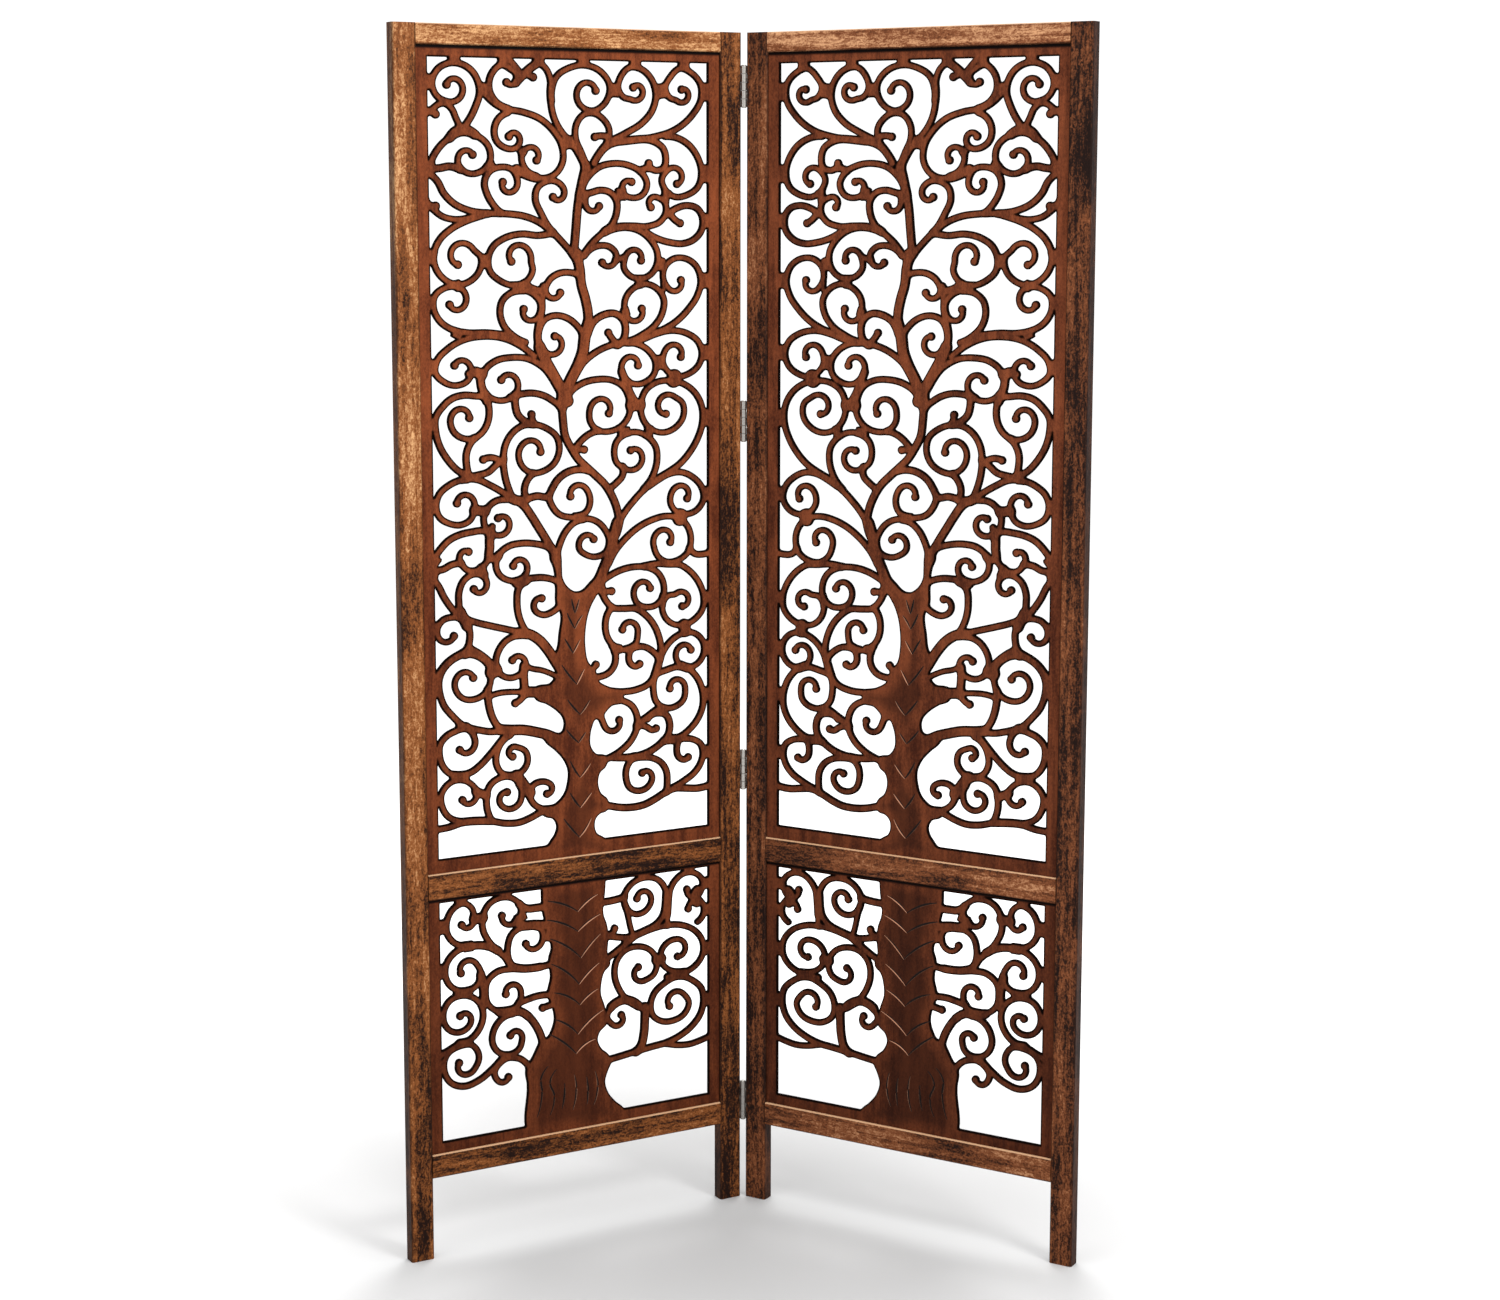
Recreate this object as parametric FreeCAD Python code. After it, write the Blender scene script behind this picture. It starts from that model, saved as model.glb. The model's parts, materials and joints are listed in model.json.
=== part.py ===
import FreeCAD, Part
import cmath
import math
import os

# Carved jali screen: two equal folding panels of framed, pierced boards on four butt hinges.
# Millimetres. Z is up, the open side of the V faces -Y, and the floor is at z = 0.
# A panel is worked out flat first: x runs from the pin axis to the free edge, y from the pin
# axis to the back. It is then turned about the pin axis, and its mirror image is the other one.

# Frame of one panel
panel_height = 1830
panel_width = 565
frame_thickness = 22
stile_width = 36
top_rail_height = 30
mid_rail_height = 39
bottom_rail_height = 36
leg_height = 125
lower_opening_height = 392
edge_chamfer = 2
tenon_length = 22
tenon_thickness = 8
tenon_shoulder = 3
tenon_back_wall = 3
joint_clearance = 0.1

# Jali boards
board_thickness = 5
board_recess = 5
groove_depth = 7
board_clearance = 0.1
field_side_margin = 19.5
upper_field_top_margin = 17
upper_field_bottom_margin = 21
lower_field_top_margin = 7
lower_field_bottom_margin = 17
vine_width = 8.6
ball_radius = 5.3
curl_shrink_share = 0.35
outline_tolerances = (2, 1, 0.4)
vine_tolerance = 0.5
curve_steps = 8
smallest_opening = 60
burnt_edge = 1.3
drawing_cell = 2.5

# Hinges, numbered from the top down
top_hinge_drop = 80
lowest_hinge_height = 160
hinge_spread_shares = (1, 0.6811321, 0.3377358, 0)
hinge_length = 62
barrel_radius = 4.5
pin_radius = 2.2
running_clearance = 0.05
knuckle_gap = 0.3
knuckle_count = 5
leaf_thickness = 2
leaf_depth = 15
leaf_clearance = 0.1
barrel_clearance = 0.35
pin_head_radius = 3.6
pin_head_thickness = 1.2
screws_per_leaf = 3
screw_length = 16
screw_radius = 1.8
screw_sides = 6
round_sides = 10

# The fold: the pins stand proud of the front faces, and the stiles stop short of them
pin_proud = 2
stile_gap = 6.4
included_angle = 120
overrun = 4


# The tree, read off as percent shares of the field of openings of each board: first across from
# the free edge, then up from the field's foot. The trunk is an outline. A curl starts with its
# spiral's turn in degrees, seen with the hinges on the right, and ends with the centre of its
# ball. Stems and bridges start with their width as a share of vine_width. Buds end in a ball.
upper_curl_shares = (
    (270, (12.3, 91.6), (16.2, 93.9), (17.9, 96.1), (15.3, 98.4), (9.1, 99.35), (3.3, 98.4),
     (1.6, 96.8), (3.2, 95.3), (6.8, 94.65), (6.6, 96.7)),
    (-210, (27.5, 93.9), (23.5, 94.7), (21.2, 96.3), (22.1, 98.1), (25.7, 99.2), (29.3, 98.6),
     (27.3, 97.1)),
    (-209, (55, 86.6), (52.6, 88.4), (50, 89.8), (47, 90.9), (44.4, 92.4), (43, 94.2), (43.1, 96.2),
     (44.8, 97.9), (49.2, 99), (55.7, 99.4), (61, 98.6), (64, 96.9), (62.5, 94.9), (57.3, 93.8),
     (53, 94.6), (58.9, 96.3)),
    (-248, (19.5, 95.8), (22.8, 94.6), (27, 93.9), (33, 93.5), (39, 92.7), (43.5, 91.3), (46.6, 89.4),
     (46.9, 87.5), (44, 85.9), (39.4, 85.4), (35, 86), (32.5, 87.3), (37.6, 87.6)),
    (243, (27.5, 93.4), (24, 92.5), (22.8, 91.2), (23.5, 90), (26, 89.2), (29.3, 89), (27.9, 90.5)),
    (-195, (0.5, 87), (2.7, 88.6), (6, 89.9), (12, 90.9), (17, 90.5), (20.8, 89.2), (21.3, 87.6),
     (18.5, 86.3), (14, 85.95), (11, 86.6), (15.2, 88.25)),
    (-222, (24.5, 81.2), (22, 82.2), (20.1, 83.4), (19.2, 84.8), (20.7, 86.1), (24.9, 86.75),
     (29, 86.4), (30.7, 85.2), (25.6, 84.9)),
    (-165, (43, 78.6), (39, 81), (37, 82.8), (37.6, 84.1), (41, 85), (45, 84.9), (47.3, 83.9),
     (43.3, 83.05)),
    (256, (63.5, 90), (70, 91.1), (75.9, 92.4), (79.6, 94), (80.9, 95.9), (79.4, 97.8), (75.5, 99.1),
     (71.5, 99.3), (68.2, 98.2), (67.1, 96.6), (68.8, 95.6), (72, 95.25), (72.6, 96.8)),
    (239, (68, 90.1), (75.9, 90.35), (81.6, 90.75), (86.5, 91.3), (90.8, 92.2), (94.8, 93.6),
     (97.7, 95.4), (97.6, 97.3), (94, 98.8), (90, 99.3), (86.3, 98.2), (84.4, 96.8), (86, 95.6),
     (88.8, 95.2), (90.5, 96.65)),
    (-210, (84.5, 90.7), (89, 90.5), (93, 89.7), (96.3, 88.2), (97.9, 86.2), (96.7, 84.4),
     (92.5, 83.3), (87.5, 83.1), (84.2, 84), (83, 85.3), (85, 86.4), (88.7, 84.7)),
    (-168, (53.5, 84), (56, 85.6), (60, 86.8), (65, 87.25), (71, 87), (75.5, 86.1), (77.5, 84.6),
     (75.7, 83.3), (72, 82.95), (69, 83.4), (71.8, 84.95)),
    (167, (62, 78.8), (66.5, 79.3), (72, 79.4), (78, 79.35), (82.6, 80), (84.6, 81.3), (83.6, 82.6),
     (81.2, 83), (78.9, 81.75)),
    (150, (53, 83.4), (54.8, 82.2), (59.9, 81.9)),
    (222, (20, 81), (13, 80.2), (7.5, 79.2), (3.5, 77.9), (1.4, 76.2), (1.8, 74.6), (5, 73),
     (9.5, 72.35), (14, 72.8), (17.3, 74.2), (17.7, 75.6), (15, 76.7), (9.6, 74.8)),
    (-192, (27, 65.9), (20, 66.3), (12.5, 66.4), (7, 66.9), (3.2, 67.9), (1.1, 69.4), (1.5, 71),
     (4.5, 71.9), (8.5, 72.1), (11.8, 71.4), (6.6, 69.9)),
    (229, (43, 78.6), (38, 78.3), (32, 78.5), (26, 78), (22, 77), (20.2, 75.5), (20.7, 74), (24, 72.8),
     (29, 72.15), (33.5, 72.6), (35.8, 74), (35.3, 75.2), (28.3, 75.1)),
    (-180, (33, 65), (28.5, 65.9), (25.3, 67.2), (24.1, 68.8), (24.9, 70.2), (28, 71.2), (32.5, 71.5),
     (36.6, 70.8), (38.6, 69.6), (38, 68.4), (32.5, 69.15)),
    (150, (53, 73.2), (49.5, 73.6), (45, 73.5), (41.5, 72.6), (40.3, 71.3), (45.6, 71.1)),
    (229, (54.5, 65), (52, 66.7), (48, 67.9), (43.5, 68.25), (40, 67.8), (38, 66.6), (37.6, 65.2),
     (39.5, 63.9), (43.5, 65.65)),
    (200, (36, 63.2), (32, 64.4), (26, 65.5), (18, 65.9), (11, 65.5), (5.5, 64.4), (1.9, 63),
     (1.3, 61.6), (4.2, 60.4), (8.5, 59.9), (12.6, 60.5), (8, 62.4)),
    (208, (42.5, 60.6), (38.5, 62), (34, 62.9), (28, 63.15), (22.5, 62.8), (18.8, 61.8), (17.2, 60.4),
     (18, 59.2), (20.5, 58.2), (24.5, 57.8), (28.5, 58.3), (24.3, 60.4)),
    (-186, (62, 78.6), (66, 79.1), (70, 79.2), (75, 78.7), (79, 77.5), (81.3, 75.9), (81, 74.4),
     (78.7, 73.2), (74.8, 72.7), (71, 73.1), (68.8, 74.2), (69.3, 75.4), (75.2, 75)),
    (-163, (54.5, 75.8), (57, 76.6), (60, 76.95), (64, 76.7), (66, 75.8), (60.9, 74.8)),
    (205, (70, 64.6), (75.5, 65.5), (80, 66.6), (83, 68.2), (83.6, 70), (81, 71.4), (76.5, 72),
     (72, 71.4), (69.4, 70.2), (69, 68.7), (75.4, 68.85)),
    (165, (80, 65.7), (84.5, 66.3), (89, 67.3), (93, 68.7), (96.3, 70.4), (97.6, 72.3), (95.8, 74.2),
     (91.5, 75.2), (87, 75.1), (84, 74.1), (83.4, 72.7), (85.3, 71.4), (90.1, 72.4)),
    (-200, (50, 60.6), (54, 62.3), (59, 63.6), (64, 64.3), (69, 64.55), (74, 64.3), (78, 63.4),
     (80.4, 61.9), (80, 60.5), (77, 59.5), (73, 59.2), (69.5, 59.8), (67.8, 61), (73.9, 61.6)),
    (-188, (71, 64.7), (76, 65), (81, 65.65), (87, 65.95), (92.5, 65.5), (96.6, 64.4), (98, 62.9),
     (96.8, 61.4), (93, 60.3), (88.5, 60), (85, 60.7), (83.2, 61.9), (83.8, 63.2), (90, 62.5)),
    (-190, (18.5, 58.7), (19.8, 57), (19.6, 55.5), (17.5, 54), (14, 53.2), (10.5, 53.3), (7.5, 54.1),
     (6.3, 55.3), (12.9, 55.8)),
    (-200, (28.5, 45), (26.2, 46.9), (25, 48.7), (24.7, 50.4), (25.3, 52), (27.8, 53.6), (31.5, 54.5),
     (36, 54.6), (40.5, 54), (43.9, 52.9), (44.8, 51.3), (43.2, 49.7), (39.5, 48.7), (35, 48.5),
     (31.8, 49.2), (30.2, 50.5), (38, 51.1)),
    (160, (40.8, 45.3), (42, 44.1), (44.5, 43), (48, 42.55), (52, 42.6), (54.9, 43.3), (55.9, 44.6),
     (54.6, 46), (48.7, 45.2)),
    (197, (27, 45.5), (24, 46.3), (20, 47.2), (15.5, 48), (10, 48.1), (5.5, 47.5), (2, 46.4),
     (0.9, 45), (2, 43.6), (5.5, 42.7), (9.5, 42.45), (13, 43.1), (14.2, 44.3), (8.2, 45.2)),
    (248, (31, 45.2), (26, 45.3), (22, 45.2), (19, 44.4), (17.5, 43.1), (18.3, 41.8), (21, 41),
     (22.6, 43)),
    (-209, (47, 57.3), (49.5, 58.7), (53.5, 59.6), (59, 60), (64.5, 59.8), (68.5, 58.9), (70.6, 57.2),
     (70.6, 55.4), (68, 54), (63.5, 53.3), (59, 53.5), (56.2, 54.6), (55.9, 56), (63, 55.6)),
    (220, (78, 46), (84.7, 47.5), (89.5, 48.6), (93.2, 50), (96.3, 51.8), (98.2, 54), (97.9, 56),
     (95.3, 57.8), (91, 59), (86, 59.5), (80.5, 59.3), (76.6, 58.3), (74.9, 56.6), (75.6, 54.7),
     (78.8, 53.3), (83.5, 52.8), (88, 53.4), (90.9, 54.8), (90.6, 56.5), (87.5, 57.4), (84.3, 55.2)),
    (241, (67, 41.8), (69.5, 43.1), (73, 44.5), (76.8, 45.9), (79.6, 47.5), (80.9, 49.3), (80.4, 51),
     (77.5, 52.3), (73.5, 53), (69, 52.8), (65.8, 51.9), (64.9, 50.6), (65.8, 49.2), (69, 48.35),
     (71, 50.7)),
    (-194, (76, 45.6), (80, 46.6), (85, 47.35), (90, 47.5), (94.3, 46.8), (97.8, 45.4), (98.6, 43.9),
     (96.3, 42.5), (92, 41.95), (88, 42.4), (85.9, 43.6), (86.4, 44.9), (92.3, 44)),
    (-170, (43.5, 37.5), (44.8, 39.3), (47, 40.8), (50, 41.8), (54.5, 42.2), (58.5, 41.7),
     (61.5, 40.5), (62.9, 39), (61.8, 37.8), (58.3, 37.2), (54.5, 37.5), (51.7, 38.5), (57.1, 39.5)),
    (-160, (20.5, 42), (19.5, 40.5), (19.4, 39), (18.2, 37.5), (15, 36.6), (11.5, 36.7), (9.2, 37.7),
     (12, 39)),
    (-214, (8.6, 30.8), (8.4, 32.3), (8.5, 34), (10.2, 35.4), (13.5, 36.1), (16.9, 35.8),
     (13.7, 34.2)),
    (171, (10.3, 25.9), (11.8, 27.4), (11.9, 29.1), (10, 30.4), (6, 30.85), (2.4, 30.5), (0.6, 29.4),
     (6.5, 28.45)),
    (-185, (8.5, 17.1), (5.5, 18.3), (2.8, 19.6), (1.3, 21.2), (1.1, 23), (3.3, 24.7), (7, 25.7),
     (11, 25.95), (15.5, 25.4), (18.6, 24.2), (19.3, 22.6), (17.8, 21), (13.8, 20.15), (9.3, 20.4),
     (6.8, 21.6), (13.1, 22.9)),
    (213, (32, 27.8), (28.5, 27.8), (25, 27.3), (22.4, 26.2), (21.2, 24.7), (22.4, 23.2), (26, 22.45),
     (30, 22.8), (27.1, 24.7)),
    (-146, (45, 32), (44, 31.1), (41.8, 30.5), (38.5, 30.2), (35.6, 30.8), (37.9, 32.35)),
    (195, (41.5, 38.7), (36, 39.4), (31, 39.6), (26, 39.3), (22.8, 38.4), (21.6, 37.2), (22.6, 35.9),
     (26, 35), (30, 34.95), (32.6, 35.9), (27.8, 36.8)),
    (-230, (62.5, 36.3), (66, 38.2), (69.5, 39.5), (74, 40.7), (79, 41.5), (84.5, 41.85), (89.5, 41.4),
     (92.6, 40.2), (93.7, 38.6), (92.6, 37), (89, 36), (84.5, 35.85), (81, 36.7), (79.5, 38.1),
     (85.8, 38.4)),
    (-220, (76, 35.5), (80, 35.7), (85, 35.5), (89.5, 35.3), (93.5, 34.3), (96.7, 32.8), (98.5, 31),
     (98.2, 29.3), (95.3, 28), (91, 27.35), (86.5, 27.6), (83.5, 28.7), (82.8, 30.3), (84.6, 31.3),
     (88, 31.55), (90.3, 29.8)),
    (-175, (59.5, 33.8), (63, 34.6), (67, 35.2), (72, 35.5), (77, 35.3), (81, 34.5), (83.1, 33.1),
     (83, 31.4), (80.5, 30.3), (76.5, 30.1), (73, 30.8), (71.9, 32), (78.1, 32.55)),
    (185, (63.5, 30.4), (61.8, 29.4), (61.2, 28), (61.9, 26.6), (64.5, 25.3), (69, 24.75),
     (72.5, 25.4), (73.4, 26.8), (67.6, 27.4)),
    (-165, (81, 22), (82.8, 23.9), (85.5, 25.2), (88.8, 26), (92.5, 26.3), (96.2, 25.8), (98.5, 24.6),
     (98.5, 23.2), (96.2, 22), (92.5, 21.6), (89, 22.2), (87.8, 23.4), (93.6, 23.9)),
    (-161, (8.5, 16.6), (11.5, 16.2), (13.4, 14.9), (8, 13.8)),
    (-180, (17.5, 4.2), (12, 4.4), (7.5, 4.6), (3.8, 5.3), (1.5, 6.7), (1.2, 8.3), (3.5, 9.5),
     (7.5, 10), (11, 9.5), (13.6, 8.3), (8.7, 7.3)),
    (-140, (19, 4.2), (17.6, 5.5), (17.3, 7.2), (18.6, 8.8), (22, 9.6), (26, 9.6), (29, 8.7),
     (30, 7.3), (28.8, 5.9), (25.5, 5.4), (22.4, 6.1), (24.7, 7.65)),
    (200, (26, 15), (23, 14.3), (21.2, 13), (20.9, 11.5), (22.6, 10.3), (26, 9.8), (30, 10.1),
     (32.2, 11.3), (31.5, 12.7), (28.2, 13.4), (26.8, 12.2)),
    (-150, (41, 4.6), (37.5, 4.9), (34.3, 5.7), (32.8, 7), (34, 8.1), (37.3, 8.5), (40.3, 8.1),
     (39.2, 6.8)),
    (170, (58.5, 17.4), (59.7, 15.8), (61.2, 14.6), (66.2, 15.5)),
    (190, (81, 22.3), (79.6, 20.8), (79.2, 19), (80.3, 17.4), (83.5, 16.5), (87.5, 16.5), (90.8, 17.4),
     (91.4, 18.8), (85.5, 19)),
    (138, (72, 10.4), (69.1, 9.2), (68.7, 7.6), (70.1, 6.3), (73.5, 5.75), (76.8, 6.1), (78.6, 7.2),
     (74.8, 8.1)),
)
upper_stem_shares = (
    (0.9, (11, 91.6), (9.6, 92.7), (8.2, 93.8), (6, 94.4), (3.8, 94.3), (1.5, 93.7), (-1, 93.2)),
    (1.4, (7.5, 90.3), (10, 91.2), (13, 91.3), (16, 90.7)),
    (1, (28, 99.9), (30.6, 98.9), (32.5, 98)),
    (1.3, (38.5, 99.6), (35.3, 98.8), (32.6, 97.9), (30.6, 97.1)),
    (0.9, (43, 95), (42.6, 96), (42.7, 97.4), (41.3, 98.8), (38.5, 99.6)),
    (1.1, (-1, 86.5), (4, 86.6), (7.3, 86.8), (10.8, 86.4)),
    (1.5, (30.5, 86.5), (33.5, 85.9), (37, 85.5)),
    (1, (-1, 86.2), (3, 85), (5, 83.6), (8.5, 82.3), (14, 81.4), (20, 81.1), (27, 81), (33, 80.7),
     (37.5, 80.1), (42, 79), (46.3, 77.5), (50, 75.9), (53, 73.9)),
    (0.9, (-1, 82.6), (2, 81.4), (4.7, 80.7), (9, 80.35), (13.5, 80.5), (18, 80.9)),
    (0.9, (56, 86.5), (53.6, 88.6), (51.6, 90.3), (51.7, 91.9), (54.5, 93.3), (58, 93.5), (61.5, 92.8),
     (63.7, 91.5), (63.4, 90.3), (61, 89), (58, 87.3)),
    (1, (58, 87.3), (63, 89.4), (70, 90.1), (77, 90.3), (81, 89.9), (83.5, 89.2), (84.5, 88),
     (83.8, 86.8), (81, 86.4), (78.3, 86.7), (75, 86.4)),
    (1, (54, 75.7), (57, 77.2), (61, 78.5), (64.5, 79.6), (66.2, 81), (66.2, 82.6), (64, 83.6),
     (60.5, 83.9), (57, 83.6), (53, 83.2)),
    (1.3, (50.6, 76), (51.4, 79), (52.2, 82), (53.6, 84.8), (55.2, 87)),
    (1, (77, 78.6), (81, 77.8), (86, 77.25), (91, 77.1), (95, 77.6), (97.9, 78.8), (98.4, 80.2),
     (96.5, 81.5), (92.5, 81.95), (88.5, 81.6), (85, 80.8)),
    (1.2, (33, 72.3), (36, 71.6), (39.5, 71.4)),
    (1, (39.5, 72), (39, 70.5), (38.9, 69), (37.9, 67.5), (37.2, 66), (37.8, 64.3)),
    (1.9, (48, 57.4), (45.5, 59), (42.4, 61), (39.7, 62.8), (38, 64.3)),
    (1.1, (12.8, 61.3), (15.6, 61.3), (17.3, 59.3), (18.8, 57.8)),
    (1.6, (15.5, 61.5), (17.6, 61.2)),
    (1.9, (46.5, 58), (49, 60), (51.8, 61.9), (53.6, 63.6), (54.3, 65.4), (55.6, 67)),
    (1.5, (55.6, 67), (55.6, 68.4), (54.7, 70.2), (53.3, 72), (52.7, 73.8), (52, 76)),
    (1.1, (55.5, 66), (58, 67.5), (61.5, 68.2), (65.5, 68.3), (68.6, 67.4), (69.3, 66), (68.3, 64.9),
     (66, 64.3)),
    (0.9, (68.5, 75.4), (65.8, 75.1)),
    (1.2, (67.8, 60.8), (69.3, 59.5), (71, 58), (73, 56.8)),
    (1, (19, 58.4), (15.5, 58.5), (11, 58.65), (7, 58.3), (3.6, 57.3), (1.2, 56), (1.1, 54.4),
     (2.5, 52.4), (5, 50.8), (8, 49.5), (12, 48.5)),
    (1, (12.5, 48.6), (11.7, 50), (11.7, 51.3), (12.8, 52.4), (14.5, 53.2)),
    (1, (11, 48.4), (16, 48.6), (19.3, 48.9), (22, 49.7), (24.7, 50.4)),
    (1, (32.8, 45.2), (32.1, 46.4), (33, 47.5), (35.2, 48.4)),
    (1, (27.5, 58.2), (31, 58.5), (36, 58.55), (40, 58.1), (43, 57.4), (46, 56.5)),
    (1.1, (29.3, 58.5), (29.2, 57), (30.1, 55.9), (32, 55.2), (35.5, 54.7)),
    (1.1, (33, 45.2), (36.5, 45.5), (40.5, 45.4), (42, 46.3), (44, 47.4), (47.5, 48.3), (51.5, 48.6),
     (55, 48.4)),
    (1.6, (14.3, 44.2), (18, 44)),
    (1, (59, 53.4), (55.5, 53), (52.6, 52.2), (50.5, 51.3)),
    (1.9, (71.2, 56.5), (74.6, 56.5)),
    (2.4, (87.6, 60), (87.2, 59.5)),
    (1, (68, 48.7), (67.8, 47.4), (66, 46.7), (63, 45.9)),
    (1.9, (46.2, 58), (45.9, 57)),
    (1.2, (45.9, 57.5), (46.2, 55), (47, 52.9), (49.2, 51.3), (51.7, 49.9), (54.5, 48.9), (58, 47.7),
     (61.5, 46.4), (64, 44.9), (65.8, 43.2), (66.5, 41.6), (65.5, 40)),
    (2.4, (89.7, 41.8), (89.4, 41.4)),
    (1.3, (28, 45.3), (31.5, 44.5), (34.5, 43), (37, 41.5), (39.5, 40), (42, 38.4)),
    (1, (20.5, 40.9), (17.3, 41.5), (13, 41.45), (9, 41.2), (5.2, 40.6), (2.3, 39.6), (-0.5, 38.2)),
    (1.3, (19.7, 41.5), (19.5, 39.5), (19.8, 38), (22.5, 38.2)),
    (1, (-1, 37), (3, 37), (6, 37.5), (9.3, 37.6)),
    (1.3, (16.5, 36.8), (17.4, 36)),
    (1, (-1, 36), (1, 35.1), (3.3, 33.4), (5.8, 32), (8, 31)),
    (1, (7.5, 31.6), (10.5, 30.6), (14, 30), (19, 29.4), (25, 28.75), (30, 28.2)),
    (1.6, (9, 31.4), (11, 29.6)),
    (1, (11.5, 26.6), (8, 26), (4, 25.1), (1, 23.9), (-1, 22.9)),
    (1, (11.5, 26.8), (15.5, 25.9), (19.8, 24.4)),
    (2.2, (19.6, 23.4), (21, 23.6)),
    (1.6, (29.5, 28.1), (33, 27.9), (36.5, 27.1), (40, 25.6), (43, 23.8), (46, 22)),
    (1, (31.5, 28.6), (29.6, 30.3), (29, 32.2), (29.6, 33.8), (32, 34.8), (36, 35.05), (40, 34.9),
     (44, 34.3)),
    (1.6, (29, 34.6), (32, 34.8)),
    (0.8, (31, 24), (34, 23.4), (38, 23), (41.5, 22.4), (45, 21.6)),
    (1.3, (31.1, 23.6), (31.2, 21.8), (31.5, 20.4)),
    (0.8, (18.5, 20.3), (22, 20.6), (27, 20.6), (31, 20.4)),
    (1.7, (31.3, 20.4), (35, 20.3), (40, 20), (46, 19.4)),
    (1.8, (52, 31.5), (56, 33), (59, 34.2), (60.7, 35.5), (62.4, 36.9), (63.8, 38.3), (64.3, 39.5),
     (65.8, 41.4)),
    (1, (93.2, 37.4), (95.5, 36.6), (98, 36.5), (101, 36.7)),
    (1, (59.6, 33.6), (61.6, 31.3), (64, 30.4), (68, 30.15), (72.5, 30), (76.2, 29.1), (79.2, 27.8),
     (81.2, 26.2), (82, 24.9), (81.8, 23.5), (80.8, 22.2), (79.6, 20.9), (77.3, 19.9), (73, 19.3),
     (67, 19.2), (60, 19.6), (54, 20.5)),
    (1, (63.8, 25.3), (64.9, 24.2), (64.6, 22.9), (62.5, 21.9), (59.5, 21.5), (56, 21.6)),
    (1, (69, 24.8), (72, 24.9), (75.4, 24.9), (78.5, 24.3), (81.5, 23)),
    (2, (91, 27.3), (91.4, 26.5)),
    (1.6, (44, 13.6), (40, 14.5), (36, 15), (31, 15.5), (26, 15.7), (22.5, 15.9)),
    (1, (23.5, 15.8), (19, 15.75), (15, 16.1), (11, 16.6), (8, 17)),
    (1, (10.5, 16.8), (7, 16.35), (3.5, 15.8), (1.1, 14.8), (0.8, 13.3), (2, 11.9), (4.5, 10.9),
     (8, 10.6), (12, 10.8), (15, 11.5), (18.5, 12.7), (21.5, 13.9), (24.5, 15.1)),
    (1.4, (13.5, 8.2), (16.9, 7.6)),
    (1.5, (6, 10.4), (9.5, 10.2)),
    (1, (-1, 3.9), (4, 4), (9, 4.4), (14, 4.4), (19, 4.1), (24, 3.6), (29, 3.5), (33, 3.9), (37, 4.5),
     (41, 4.7), (46, 4.4)),
    (1.8, (29.8, 8.6), (33, 7.2)),
    (1.4, (28, 9.8), (29.5, 9.2), (31, 8.2)),
    (1.1, (18.2, 21.2), (18.6, 19), (20, 17.3), (22.5, 15.9)),
    (1, (61, 18.2), (67.5, 18), (71, 17.2), (72.8, 15.9), (72.8, 14.2), (70.8, 12.7), (67.2, 11.5),
     (63, 10.7), (59, 10.3), (54, 10)),
    (1.1, (72.8, 14.4), (76.2, 15.4), (80.3, 15.9), (84, 15.5), (85.4, 14.2), (84.8, 12.9), (82, 11.8),
     (78.5, 11), (74, 10.5), (69.5, 10.4), (64, 10.6)),
    (0.9, (77, 15.2), (80.5, 16.4), (83.5, 16.4)),
    (1, (80, 21.1), (84, 21.5), (88.5, 21.8), (92.5, 21.4), (95.8, 20.2), (98, 18.3), (98.2, 16.3),
     (96.5, 14.7), (93.5, 13.4), (90, 12.5), (86.5, 12.1), (83, 12)),
    (1, (87, 12.3), (90.5, 12.1), (94.3, 11.85), (97.3, 11.1), (98.2, 9.8), (97.3, 8.5), (94.8, 7.3),
     (91, 6.4), (87, 5.7)),
    (1, (70, 10.2), (74.5, 10.2), (79, 9.9), (82.3, 9.1), (84.1, 7.9), (84.4, 6.6), (84, 5.2)),
    (1.1, (54, 4.8), (58, 4.6), (62, 4.25), (66, 3.85), (71, 3.65), (75.5, 3.8), (79.5, 4.35), (83, 5),
     (87, 5.5), (91.5, 5.35), (96, 5.15), (101, 5.4)),
)
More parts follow.
